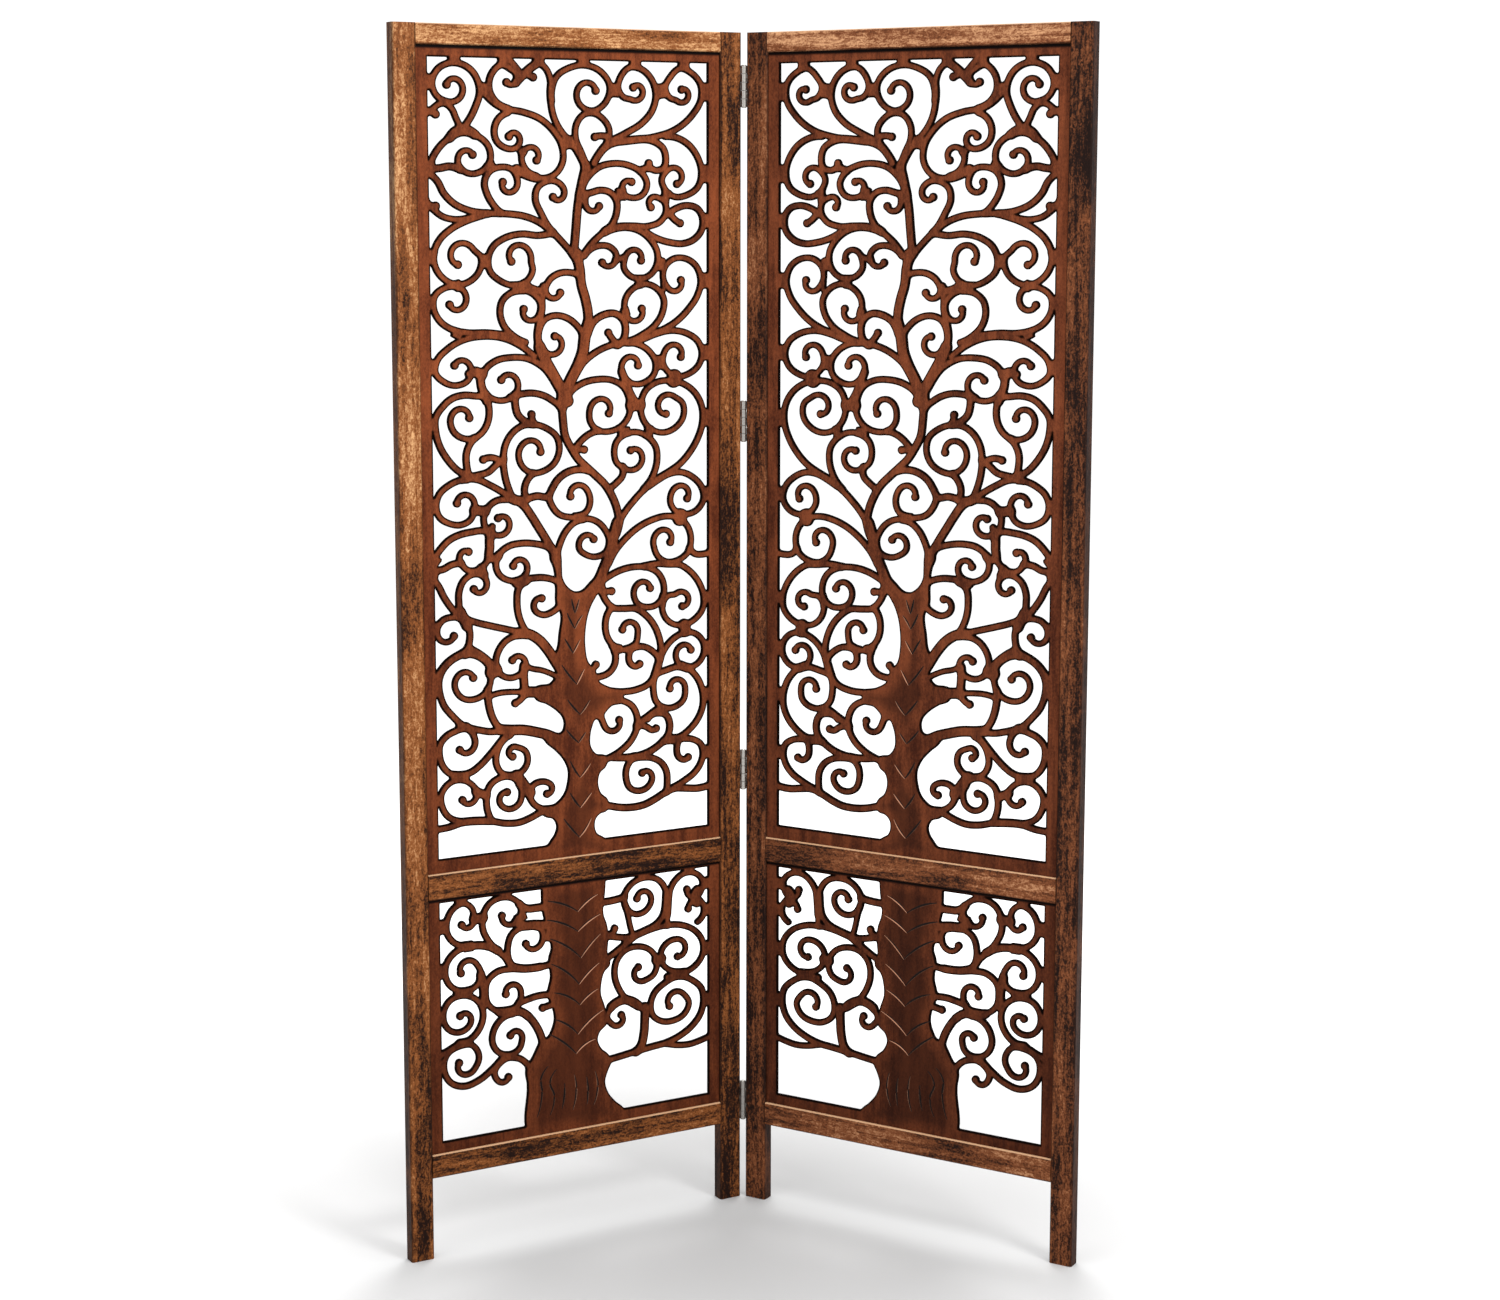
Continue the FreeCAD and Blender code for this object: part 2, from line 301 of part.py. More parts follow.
upper_bridge_shares = (
    (1.9, (9.2, 99.3), (9.2, 101)),
    (1.7, (26, 99.2), (26.5, 101)),
    (1.8, (38.5, 99.6), (38.8, 101)),
    (2, (54.5, 99.4), (54.5, 101)),
    (1.9, (73.3, 99.2), (73.3, 101)),
    (1.9, (91.3, 99.2), (91.3, 101)),
    (2.4, (-1, 97), (1.6, 97)),
    (2, (18.2, 96.3), (20.8, 96.1)),
    (2.2, (64.3, 96.4), (67, 96.4)),
    (2.4, (81, 96.3), (84.3, 96.5)),
    (3, (97.9, 96.4), (101, 96.4)),
    (2, (57.3, 93.7), (57.3, 93.4)),
    (2.4, (-2, 86.6), (1.6, 86.4)),
    (2, (46.8, 89.7), (50.5, 89.9)),
    (1.2, (31.8, 89), (33, 88.2)),
    (1.6, (21, 87.2), (21.5, 86.5)),
    (3, (97.9, 86), (101, 86)),
    (2, (66, 83.4), (69.5, 83.4)),
    (1.4, (84, 82.4), (84.7, 83.8)),
    (1.6, (54.5, 83.8), (54, 82.5)),
    (2.2, (-1, 76), (1.5, 75.6)),
    (2.2, (17.6, 75.2), (20.3, 75.2)),
    (2.4, (98, 80), (101, 80)),
    (1.6, (8.5, 72.1), (10.5, 72.4)),
    (2, (-1, 70.3), (1.2, 70.2)),
    (1.8, (28.5, 71.8), (32.5, 71.8)),
    (2, (73.3, 72.3), (75.5, 72.3)),
    (2.2, (81, 74.6), (83.8, 74.4)),
    (1.6, (82.8, 71.6), (84, 71.6)),
    (2.6, (97.5, 72.3), (101, 72.3)),
    (1.4, (68.9, 68.9), (69.6, 68)),
    (2.6, (98, 63), (101, 63)),
    (2.4, (80.4, 61.9), (83.2, 61.9)),
    (2.4, (-1, 62.4), (1.3, 62.2)),
    (1.4, (7.5, 66.5), (10.5, 66)),
    (1.3, (68.7, 59.4), (69.5, 60)),
    (1.8, (-1, 55.2), (1, 55.2)),
    (3, (98.1, 54.5), (101, 54.5)),
    (2.4, (-1, 45), (1, 45)),
    (2.4, (98.6, 44.5), (101, 44.5)),
    (1.4, (66.5, 53.2), (70.5, 53.2)),
    (1.6, (76.5, 53), (79, 53)),
    (1.6, (50, 42.4), (53.5, 42.4)),
    (2, (10, 48.5), (12, 48.5)),
    (2.2, (-1, 38.3), (1.2, 37.6)),
    (2.2, (-1, 36.4), (1, 36.2)),
    (2, (98.4, 30.8), (101, 30.8)),
    (2, (82.2, 30.8), (83.4, 30.8)),
    (2.6, (98.6, 24), (101, 24)),
    (1.4, (89.5, 22), (92.5, 21.5)),
    (2, (-1, 29.6), (0.8, 29.6)),
    (2.4, (-1, 21.8), (1.1, 21.8)),
    (2.4, (98.1, 17.8), (101, 17.8)),
    (1.8, (-1, 13.8), (1, 13.8)),
    (1.8, (-1, 7.6), (1.3, 7.6)),
    (2.2, (98.1, 10), (101, 10)),
    (1.4, (85, 12.3), (87.5, 12)),
    (1.4, (64, 25), (67, 24.9)),
)
upper_bud_shares = (
    ((-1, 93.4), (1.5, 93.3), (2.7, 93.1)),
    ((34, 98.2), (36.6, 97.8)),
    ((-1, 82), (2.3, 82)),
    ((62.8, 90.6), (60.5, 90.7), (58.5, 90.55)),
    ((78, 86.7), (78.2, 87.3)),
    ((86, 80.9), (88, 80.1), (89.8, 79.7)),
    ((66.5, 64.3), (64.6, 65), (63, 65.9)),
    ((23.5, 50.2), (20, 50.7), (17.6, 50.5)),
    ((35.2, 54.8), (34.9, 55.9)),
    ((51, 51.2), (53.8, 51.1)),
    ((60, 32.6), (63.6, 32.55)),
    ((56, 22.4), (57.6, 23.1)),
    ((71.5, 25), (70, 24), (70.4, 22.9), (72.5, 22.4), (74, 22.65)),
    ((31.5, 20.3), (29.8, 19.5), (28, 19.1)),
    ((73, 14.6), (76.5, 14.2), (78.8, 13.7), (80.2, 13.85)),
    ((89, 12), (88.1, 10.9), (88.8, 9.7), (90.8, 9.25), (92.5, 9.5)),
)
upper_trunk_shares = (
    (38, -1), (40.5, 0.5), (42.1, 1.3), (42.8, 2.5), (41.6, 3.4), (38, 4.1), (38, 4.9), (41.5,
    5.15), (43.8, 5.7), (45.7, 6.5), (46.9, 7.8), (47.2, 9.6), (45.7, 11), (42.6, 12.4), (39, 13.7),
    (38, 14.8), (43, 14.45), (45, 14.7), (45.9, 15.6), (45.4, 16.6), (43.2, 17.6), (39.6, 18.6),
    (35.5, 19.5), (36, 20.8), (41, 21.2), (43.4, 22.6), (42, 24.4), (43.6, 25.7), (44.3, 27.5),
    (44.9, 30.3), (43.3, 31.6), (43.2, 33.4), (43, 35.1), (42.4, 36.3), (41.2, 37.5), (42, 38.5),
    (43.4, 38.5), (44.8, 37.5), (45, 36.2), (45.3, 34.7), (47.2, 33.5), (50.2, 32.8), (53.7, 33),
    (57.2, 34), (59.8, 34), (60.2, 32.4), (58.9, 32.5), (56.7, 31.6), (54.7, 30), (53.5, 27.8),
    (53.4, 25.5), (54.4, 23.6), (57, 22.3), (58.4, 20.9), (62.5, 19.9), (67.5, 18.9), (67, 18), (63,
    17.5), (60.5, 16.6), (59, 15.9), (57.3, 16), (55.7, 15), (55, 13.8), (55.3, 12.3), (57.3, 11.3),
    (61, 10.8), (61, 9.7), (58.5, 8.8), (57.8, 7.6), (58.8, 6.1), (61.5, 5), (61, 3.7), (58.5, 3.4),
    (56.9, 2.8), (56.4, 2), (57.2, 0.8), (60, 0), (61, -1),
)
lower_curl_shares = (
    (-165, (20, 77), (15.5, 80), (9.5, 80.6), (5.3, 82.5), (2.6, 87), (2.6, 92.5), (5.2, 97.3),
     (8.5, 98.6), (11.5, 96), (12.2, 91.8), (7.8, 89.7)),
    (-165, (23.5, 73.5), (20.5, 76.8), (17.3, 81.5), (15.3, 87), (15.5, 92.5), (17.8, 97), (22, 98.9),
     (26.5, 97.6), (29.2, 93.5), (28.6, 89.5), (22.3, 91.2)),
    (-155, (25.5, 69.5), (24.4, 73), (24.3, 78), (25.8, 82.8), (29.5, 85.2), (33.8, 85), (36.8, 82.5),
     (37, 78.5), (30.9, 77.9)),
    (190, (36, 67.3), (30, 67.4), (25, 68.3), (20.5, 68), (17.2, 65.3), (15.8, 60.5), (16.6, 55.5),
     (20, 51.5), (24.5, 50.8), (28.2, 53.5), (28.9, 58), (23.4, 57.9)),
    (165, (31.5, 47), (28.8, 49.2), (25.5, 49.3), (21.5, 47.5), (18.9, 43.5), (18.3, 38.5), (20.3, 34),
     (24.2, 32), (28, 33.7), (29.2, 37.8), (24.9, 40.1)),
    (175, (21, 77), (16, 79.5), (10, 80.4), (5, 78.5), (2.2, 74.5), (1.8, 69), (4.3, 64), (9, 62),
     (13, 63.8), (14.4, 68.3), (12.8, 72.7), (7.3, 69.6)),
    (175, (-1, 36.5), (4, 38.5), (9, 40.3), (13, 44), (15, 49.5), (14.3, 55), (11, 59), (7, 60.3),
     (3, 58.7), (0.9, 54.5), (1.2, 49.5), (3.6, 45.9), (7, 45), (10.2, 47.3), (6.8, 51.7)),
    (-180, (23.5, 31.5), (18.5, 27.3), (13.5, 23.4), (8, 21.8), (3.6, 23.8), (1, 28.8), (1, 34.3),
     (3.8, 38.6), (8.3, 40), (12, 37.5), (13.4, 32.8), (11.8, 28.5), (6.2, 32)),
    (125, (22.5, 31), (19.8, 28.2), (18.9, 25), (20, 21.9), (24, 22.4)),
    (190, (71, 74.5), (76, 76.2), (80.8, 79), (83.7, 85), (83.8, 91.5), (81, 97), (75.5, 99),
     (70.3, 96.8), (67.7, 92), (68.6, 87), (72.2, 83.7), (76, 84.7), (78, 88.3), (72.6, 90.4)),
    (-180, (68, 72.5), (72.5, 74.8), (78, 76.3), (84, 77), (90, 76), (95, 72.8), (98, 67.5), (98, 62),
     (95.2, 57.5), (90.5, 55.3), (85.8, 56.8), (82.2, 60.7), (81.8, 65.7), (84.5, 69.5), (88.3, 70.2),
     (88.2, 62.6)),
    (-180, (75.5, 42), (72, 44), (68, 48), (65.3, 53), (63.9, 59), (64.8, 65), (68.3, 69), (73, 69.6),
     (77.6, 67.2), (80.1, 62), (79, 56.6), (75.5, 54.4), (73, 60.6)),
    (190, (66, 47.2), (62.8, 45.2), (60.9, 41), (62.7, 37.8), (66.4, 41)),
    (180, (91, 54), (88, 54), (83, 51.8), (79.2, 48.3), (77.7, 43.5), (78.4, 38.8), (81.7, 35.5),
     (86.3, 34.8), (90.8, 37), (92.6, 41.5), (90.5, 45.8), (85, 41.4)),
    (-175, (84, 77), (84.3, 84), (84.8, 90), (86.8, 95.2), (90.5, 98.4), (94.5, 98.2), (97.8, 94.5),
     (97.6, 90.5), (91.9, 91.3)),
    (100, (96, 76.5), (98.3, 79.5), (98.3, 83.5), (95.8, 86.2), (92.4, 82.8)),
)
lower_stem_shares = (
    (1.6, (12.2, 91.5), (15.5, 91.5)),
    (1.2, (28.8, 95), (31.5, 92.8), (34.5, 92.5), (39, 92.7)),
    (1.5, (27.5, 88), (30, 86), (34, 85.5), (39, 84.5)),
    (1, (23.5, 74.5), (25, 70.5), (29, 68.1), (34, 67.2), (41, 68)),
    (1, (28, 53.3), (31.5, 54.3), (35, 55), (40, 54.6)),
    (1.2, (23, 50.6), (28, 50), (31.5, 47), (34.5, 42), (36.5, 36), (37, 30)),
    (1, (22, 30.8), (25, 30.7), (28.5, 29.3), (31.3, 26), (33, 22)),
    (1.4, (14.4, 67.5), (15.3, 62), (15.2, 55)),
    (1.3, (6, 61.3), (10, 61.3)),
    (1.3, (6.5, 40.3), (9.5, 40)),
    (1.4, (21, 50.8), (25.5, 49.8)),
    (1.1, (58, 91), (63, 91), (67.8, 91.8)),
    (0.8, (68, 88.5), (69.2, 83), (69.9, 79), (71, 74.5)),
    (1, (59, 76.6), (63.5, 75.4), (67, 74.5), (71, 74)),
    (1, (58, 65.5), (62.3, 67.3), (66.3, 70.2), (70, 73)),
    (1.6, (79.9, 62.5), (82, 62.8)),
    (1.4, (62.5, 45.3), (66, 47.3), (70, 46.6), (73, 44)),
    (1.4, (75.5, 43), (75.4, 37), (75, 31), (74, 26.5), (72, 23.8)),
    (1, (84, 54.5), (89, 54), (94.2, 51), (97.6, 46.8), (98.3, 41.5), (97.2, 36), (94, 31.3),
     (89.3, 27.8), (84, 25.7), (78, 24.9), (71, 23.9), (64, 22.8), (57, 22)),
    (0.9, (84, 25), (88.5, 23.6), (93, 23.2), (97, 24), (101, 25.3)),
    (1.9, (96, 90), (94.8, 87.6), (95.8, 85.3)),
    (1.6, (83.8, 82), (84.2, 90)),
)
lower_bridge_shares = (
    (1.9, (7.5, 98.5), (7.5, 103)),
    (1.9, (23.5, 98.7), (23.5, 103)),
    (2, (75, 98.8), (75, 103)),
    (1.9, (92.5, 98.4), (92.5, 103)),
    (2.4, (-1, 90), (2.5, 90)),
    (2.4, (-1, 71.5), (1.9, 71.5)),
    (2, (-1, 52.5), (1, 52.5)),
    (2, (-1, 32), (1, 32)),
    (2.4, (98, 64.5), (101, 64.5)),
    (2.4, (98.2, 42), (101, 42)),
    (2, (98.2, 81.5), (101, 81.5)),
    (2, (97.9, 93), (101, 93)),
    (1.6, (8.5, 80.4), (11.5, 80.4)),
    (2, (28.7, 91), (29.6, 88)),
    (1.6, (86.5, 55.2), (91, 54.8)),
)
lower_bud_shares = (
    ((43, 51.2), (39.5, 50.2), (36.8, 49.6)),
    ((60, 77.5), (63, 77), (64, 78.9)),
)
lower_trunk_shares = (
    (31, -3), (31.1, 18), (30.6, 24), (33, 29), (37.2, 36), (38.6, 36.5), (40.4, 39.8), (41.3, 44),
    (40.8, 48.5), (38.9, 55), (40, 62), (39.5, 70.7), (40.4, 74.5), (39.8, 77.4), (38, 78.3), (38.4,
    84), (37.3, 90.5), (37, 95), (37.5, 103), (59.9, 103), (60.1, 95), (59.5, 90.5), (59.5, 85.8),
    (60.8, 81), (61.2, 74.4), (60.9, 69), (61.8, 63.6), (59.9, 61.4), (58.5, 56.2), (58.3, 52),
    (59.8, 45.8), (60.4, 38.3), (57.8, 35.4), (57, 32.3), (58.3, 28.1), (61.2, 24.5), (62, 21.5),
    (60.8, 18), (59.7, 13.6), (60.8, 8.4), (63.7, 3.7), (66.8, 0), (67.5, -3),
)

upper_shares = (upper_curl_shares, upper_stem_shares, upper_bridge_shares, upper_bud_shares, upper_trunk_shares)
lower_shares = (lower_curl_shares, lower_stem_shares, lower_bridge_shares, lower_bud_shares, lower_trunk_shares)

# Places that several pieces share
front = pin_proud
back = front + frame_thickness
inner_edge = stile_gap / 2
outer_edge = inner_edge + panel_width
opening_inner = inner_edge + stile_width
opening_outer = outer_edge - stile_width
bottom_rail_top = leg_height + bottom_rail_height
mid_rail_bottom = bottom_rail_top + lower_opening_height
mid_rail_top = mid_rail_bottom + mid_rail_height
top_rail_bottom = panel_height - top_rail_height
hinge_spread = panel_height - top_hinge_drop - lowest_hinge_height
hinge_heights = [lowest_hinge_height + hinge_spread * share for share in hinge_spread_shares]
board_front = front + board_recess


def block(x_low, x_high, y_low, y_high, z_low, z_high):
    corner = FreeCAD.Vector(x_low, y_low, z_low)
    return Part.makeBox(x_high - x_low, y_high - y_low, z_high - z_low, corner)


# Jali boards

def board_block(z_low, z_high, clearance):
    """The board's plain outline, or with a clearance the space that the grooves leave it."""
    reach = groove_depth - board_clearance + clearance
    return block(
        opening_inner - reach, opening_outer + reach,
        board_front - clearance, board_front + board_thickness + clearance,
        z_low - reach, z_high + reach)


def smooth(points, end_heading=None):
    """Close short steps along a curve through the points."""
    gaps = [abs(b - a) for a, b in zip(points, points[1:])]
    chords = [(b - a) / gap for a, b, gap in zip(points, points[1:], gaps)]
    headings = [a * after + b * before for a, b, before, after in zip(chords, chords[1:], gaps, gaps[1:])]
    headings = [heading / abs(heading) for heading in headings]
    first = chords[0]
    last = chords[-1]
    if headings:
        first = chords[0] * 2 - headings[0]
        last = chords[-1] * 2 - headings[-1]
    if end_heading:
        last = end_heading
    headings = [first / abs(first)] + headings + [last / abs(last)]
    curve = [points[0]]
    for i, gap in enumerate(gaps):
        leave = headings[i] * gap
        arrive = headings[i + 1] * gap
        for step in range(1, curve_steps + 1):
            t = step / curve_steps
            ease = 3 * t ** 2 - 2 * t ** 3
            curve.append(
                points[i] * (1 - ease) + points[i + 1] * ease
                + leave * (t ** 3 - 2 * t ** 2 + t) + arrive * (t ** 3 - t ** 2))
    return curve


def curl(turn, points):
    """A vine that ends in a spiral, turning by turn degrees from the last but one point."""
    root = points[-2]
    shrink = curl_shrink_share ** (abs(turn) / 360)
    whole = cmath.rect(shrink, math.radians(turn))
    pole = (points[-1] - whole * root) / (1 - whole)
    rate = complex(math.log(shrink), math.radians(turn))
    curve = smooth(points[:-1], (root - pole) * rate)
    spiral_steps = 3 * curve_steps
    for step in range(1, spiral_steps + 1):
        curve.append(pole + (root - pole) * cmath.exp(rate * step / spiral_steps))
    return curve


def thinned(curve, tolerance):
    """The fewest steps that keep within the tolerance of the curve."""
    start = curve[0]
    chord = curve[-1] - start
    worst = 0
    split = 0
    for i in range(1, len(curve) - 1):
        along = min(max(((curve[i] - start) / chord).real, 0), 1)
        distance = abs(curve[i] - start - chord * along)
        if distance > worst:
            worst = distance
            split = i
    if worst <= tolerance:
        return [start, curve[-1]]
    return thinned(curve[:split + 1], tolerance)[:-1] + thinned(curve[split:], tolerance)


class Drawing:
    """Distances from a board's strands on a grid of its field: above zero where it is open."""

    def __init__(self, low, high):
        self.low = low - complex(drawing_cell, drawing_cell)
        self.columns = math.ceil((high - self.low).real / drawing_cell) + 1
        self.rows = math.ceil((high - self.low).imag / drawing_cell) + 1
        self.distances = []
        for row in range(self.rows):
            places = [self.place(row, column) for column in range(self.columns)]
            self.distances.append([
                min((place - low).real, (place - low).imag, (high - place).real, (high - place).imag)
                for place in places])

    def place(self, row, column):
        return self.low + complex(column, row) * drawing_cell

    def span(self, first, last, reach, count):
        start = math.floor((min(first, last) - reach) / drawing_cell)
        end = math.ceil((max(first, last) + reach) / drawing_cell)
        return range(max(start, 0), min(end, count - 1) + 1)

    def add_strand(self, distances, curve, half_width):
        """Takes in a strand along the curve, or a ball where its places are all the same."""
        reach = half_width + 2 * drawing_cell
        for start, end in zip(curve, curve[1:]):
            step = end - start
            first, last = start - self.low, end - self.low
            for row in self.span(first.imag, last.imag, reach, self.rows):
                line = distances[row]
                for column in self.span(first.real, last.real, reach, self.columns):
                    away = self.place(row, column) - start
                    along = min(max((away / step).real, 0), 1) if step else 0
                    near = abs(away - step * along) - half_width
                    if near < line[column]:
                        line[column] = near

    def add_trunk(self, outline):
        loop = outline + outline[:1]
        edge = [[2 * drawing_cell] * self.columns for _ in range(self.rows)]
        self.add_strand(edge, loop, 0)
        for row in range(self.rows):
            height = self.place(row, 0).imag
            crossings = sorted(
                a.real + (b - a).real * (height - a.imag) / (b - a).imag
                for a, b in zip(loop, loop[1:]) if (a.imag > height) != (b.imag > height))
            for column in range(self.columns):
                across = self.place(row, column).real
                inside = sum(crossing < across for crossing in crossings) % 2
                near = (-edge[row][column] if inside else edge[row][column]) - burnt_edge
                self.distances[row][column] = min(self.distances[row][column], near)

    def openings(self):
        """Closed outlines of the openings, as lists of complex places."""
        follows = {}
        for row in range(self.rows - 1):
            for column in range(self.columns - 1):
                corners = [(row, column), (row, column + 1), (row + 1, column + 1), (row + 1, column)]
                is_open = [self.distances[r][c] > 0 for r, c in corners]
                if any(is_open) and not all(is_open):
                    # Each run of open corners is cut off from the wooden ones by one step of an outline.
                    for k in range(4):
                        if is_open[k] and not is_open[k - 1]:
                            m = k
                            while is_open[(m + 1) % 4]:
                                m += 1
                            start = frozenset((corners[k - 1], corners[k]))
                            follows[start] = frozenset((corners[m % 4], corners[(m + 1) % 4]))
        loops = []
        while follows:
            edge, after = follows.popitem()
            loop = [self.crossing(edge)]
            while after in follows:
                loop.append(self.crossing(after))
                after = follows.pop(after)
            loops.append(loop)
        return [loop for loop in loops if area(loop) > smallest_opening]

    def crossing(self, edge):
        (row, column), (other_row, other_column) = sorted(edge)
        start = self.distances[row][column]
        end = self.distances[other_row][other_column]
        place = self.place(row, column)
        return place + (self.place(other_row, other_column) - place) * start / (start - end)


def flat_wire(outline):
    corners = [FreeCAD.Vector(point.real, board_front, point.imag) for point in outline]
    return Part.makePolygon(corners + corners[:1])


def flat_face(outline):
    return Part.Face(flat_wire(outline))


def area(loop):
    return abs(sum((a.conjugate() * b).imag for a, b in zip(loop, loop[1:] + loop[:1]))) / 2


def thinned_loop(loop, tolerance):
    """A closed outline with the fewest corners that keep within the tolerance of it."""
    start = max(range(len(loop)), key=lambda i: abs(loop[i] - loop[0]))
    loop = loop[start:] + loop[:start]
    middle = max(range(len(loop)), key=lambda i: abs(loop[i] - loop[0]))
    half = thinned(loop[:middle + 1], tolerance)[:-1]
    return half + thinned(loop[middle:] + loop[:1], tolerance)[:-1]




def jali(shares, z_low, z_high, top_margin, bottom_margin):
    """The pierced board for the opening from z_low to z_high."""
    curls, stems, bridges, buds, trunk = shares
    field_outer = opening_outer - field_side_margin
    field_inner = opening_inner + field_side_margin
    field_bottom = z_low + bottom_margin
    field_top = z_high - top_margin

    def places(pairs):
        width = field_inner - field_outer
        height = field_top - field_bottom
        return [complex(field_outer + width * u / 100, field_bottom + height * v / 100) for u, v in pairs]

    drawing = Drawing(complex(field_inner, field_bottom), complex(field_outer, field_top))
    for turn, *pairs in curls:
        vine = thinned(curl(-turn, places(pairs)), vine_tolerance)
        drawing.add_strand(drawing.distances, vine, vine_width / 2 + burnt_edge)
        drawing.add_strand(drawing.distances, vine[-1:] * 2, ball_radius + burnt_edge)
    for share, *pairs in stems + bridges:
        stem = thinned(smooth(places(pairs)), vine_tolerance)
        drawing.add_strand(drawing.distances, stem, vine_width * share / 2 + burnt_edge)
    for pairs in buds:
        bud = thinned(smooth(places(pairs)), vine_tolerance)
        drawing.add_strand(drawing.distances, bud, vine_width / 2 + burnt_edge)
        drawing.add_strand(drawing.distances, bud[-1:] * 2, ball_radius + burnt_edge)
    drawing.add_trunk(places(trunk))
    loops = drawing.openings()
    rim = board_block(z_low, z_high, 0).BoundBox
    rim_corners = [
        complex(rim.XMin, rim.ZMin), complex(rim.XMax, rim.ZMin),
        complex(rim.XMax, rim.ZMax), complex(rim.XMin, rim.ZMax)]
    # The coarsest outline whose openings stay clear of each other is the one that is used.
    for tolerance in outline_tolerances:
        openings = [flat_face(thinned_loop(loop, tolerance)) for loop in loops]
        board = flat_face(rim_corners).cut(openings).Faces[0].extrude(FreeCAD.Vector(0, board_thickness, 0))
        if board.isValid():
            break
    return board


upper_board = (mid_rail_top, top_rail_bottom, upper_field_top_margin, upper_field_bottom_margin)
lower_board = (bottom_rail_top, mid_rail_bottom, lower_field_top_margin, lower_field_bottom_margin)


# Frame

def chamfered(low, high, a_low, a_high):
    """Corners of a post's or rail's section: two coordinates, every corner cut off."""
    c = edge_chamfer
    return [
        (low + c, a_low), (high - c, a_low), (high, a_low + c), (high, a_high - c),
        (high - c, a_high), (low + c, a_high), (low, a_high - c), (low, a_low + c)]


def prism(corners, direction):
    return Part.Face(Part.makePolygon(corners + corners[:1])).extrude(direction)


def tenons(z_low, z_high, clearance):
    """The two tenons of the rail from z_low to z_high, or with a clearance their mortises."""
    y_high = back - tenon_back_wall + clearance
    y_low = back - tenon_back_wall - tenon_thickness - clearance
    reach = tenon_length + clearance
    low = z_low + tenon_shoulder - clearance
    high = z_high - tenon_shoulder + clearance
    inner = block(opening_inner - reach, opening_inner, y_low, y_high, low, high)
    outer = block(opening_outer, opening_outer + reach, y_low, y_high, low, high)
    return inner.fuse(outer)


rails = {
    "top_rail": (top_rail_bottom, panel_height),
    "mid_rail": (mid_rail_bottom, mid_rail_top),
    "bottom_rail": (leg_height, bottom_rail_top)}


def grooved(shape):
    for z_low, z_high, _, _ in (upper_board, lower_board):
        shape = shape.cut(board_block(z_low, z_high, board_clearance))
    return shape


def rail(z_low, z_high):
    section = chamfered(front, back, z_low, z_high)
    corners = [FreeCAD.Vector(opening_inner, y, z) for y, z in section]
    length = opening_outer - opening_inner
    return grooved(prism(corners, FreeCAD.Vector(length, 0, 0)).fuse(tenons(z_low, z_high, 0)))


def stile(x_low, x_high):
    corners = [FreeCAD.Vector(x, y, 0) for x, y in chamfered(x_low, x_high, front, back)]
    shape = grooved(prism(corners, FreeCAD.Vector(0, 0, panel_height)))
    for z_low, z_high in rails.values():
        shape = shape.cut(tenons(z_low, z_high, joint_clearance))
    return shape


# Hinges

leaf_face = barrel_radius - leaf_thickness
leaf_front = math.sqrt((barrel_radius + barrel_clearance) ** 2 - leaf_face ** 2)
leaf_back = front + leaf_depth
hinge_half = hinge_length / 2
knuckle_length = (hinge_length - knuckle_gap * (knuckle_count - 1)) / knuckle_count
flat_share = math.cos(math.pi / round_sides)


def round_prism(radius, axis_start, axis_vector, sides):
    """A many-sided rod whose corners lie at the radius."""
    first = FreeCAD.Vector(0, radius, 0) if axis_vector.x else FreeCAD.Vector(radius, 0, 0)
    turn = FreeCAD.Rotation(axis_vector, 360 / sides)
    corners = []
    for _ in range(sides):
        corners.append(axis_start + first)
        first = turn.multVec(first)
    return prism(corners, axis_vector)


def upright_prism(radius, z_low, z_high):
    return round_prism(radius, FreeCAD.Vector(0, 0, z_low), FreeCAD.Vector(0, 0, z_high - z_low), round_sides)


def leaf_screws(height, clearance):
    """The leaf's screws, which grip the stile's edge."""
    pitch = hinge_length / screws_per_leaf
    y = (leaf_front + leaf_back) / 2
    screws = []
    for place in range(screws_per_leaf):
        z = height - hinge_half + pitch * (place + 1 / 2)
        reach = FreeCAD.Vector(screw_length + clearance, 0, 0)
        screws.append(round_prism(screw_radius + clearance, FreeCAD.Vector(leaf_face, y, z), reach, screw_sides))
    return screws


def leaf(height, rows):
    """A hinge leaf with its screws and the knuckles of the given rows, counted from the top."""
    shape = block(leaf_face, barrel_radius, leaf_front, leaf_back, height - hinge_half, height + hinge_half)
    for row in rows:
        top = height + hinge_half - row * (knuckle_length + knuckle_gap)
        web = block(leaf_face, barrel_radius, 0, leaf_front, top - knuckle_length, top)
        shape = shape.fuse([web, upright_prism(barrel_radius, top - knuckle_length, top)])
    bore_radius = (pin_radius + running_clearance) / flat_share
    shape = shape.cut(upright_prism(bore_radius, height - hinge_half - overrun, height + hinge_half + overrun))
    return shape.fuse(leaf_screws(height, 0)).removeSplitter()


def pin(height):
    top = height + hinge_half
    bottom = height - hinge_half
    shaft = upright_prism(pin_radius, bottom - pin_head_thickness, top + pin_head_thickness)
    upper_head = upright_prism(pin_head_radius, top, top + pin_head_thickness)
    lower_head = upright_prism(pin_head_radius, bottom - pin_head_thickness, bottom)
    return shaft.fuse([upper_head, lower_head]).removeSplitter()


def hinge_stile():
    shape = stile(inner_edge, opening_inner)
    for height in hinge_heights:
        shape = shape.cut(block(
            inner_edge - overrun, barrel_radius, front - overrun, leaf_back + leaf_clearance,
            height - hinge_half - leaf_clearance, height + hinge_half + leaf_clearance))
        shape = shape.cut(leaf_screws(height, running_clearance))
    return shape


# The whole screen

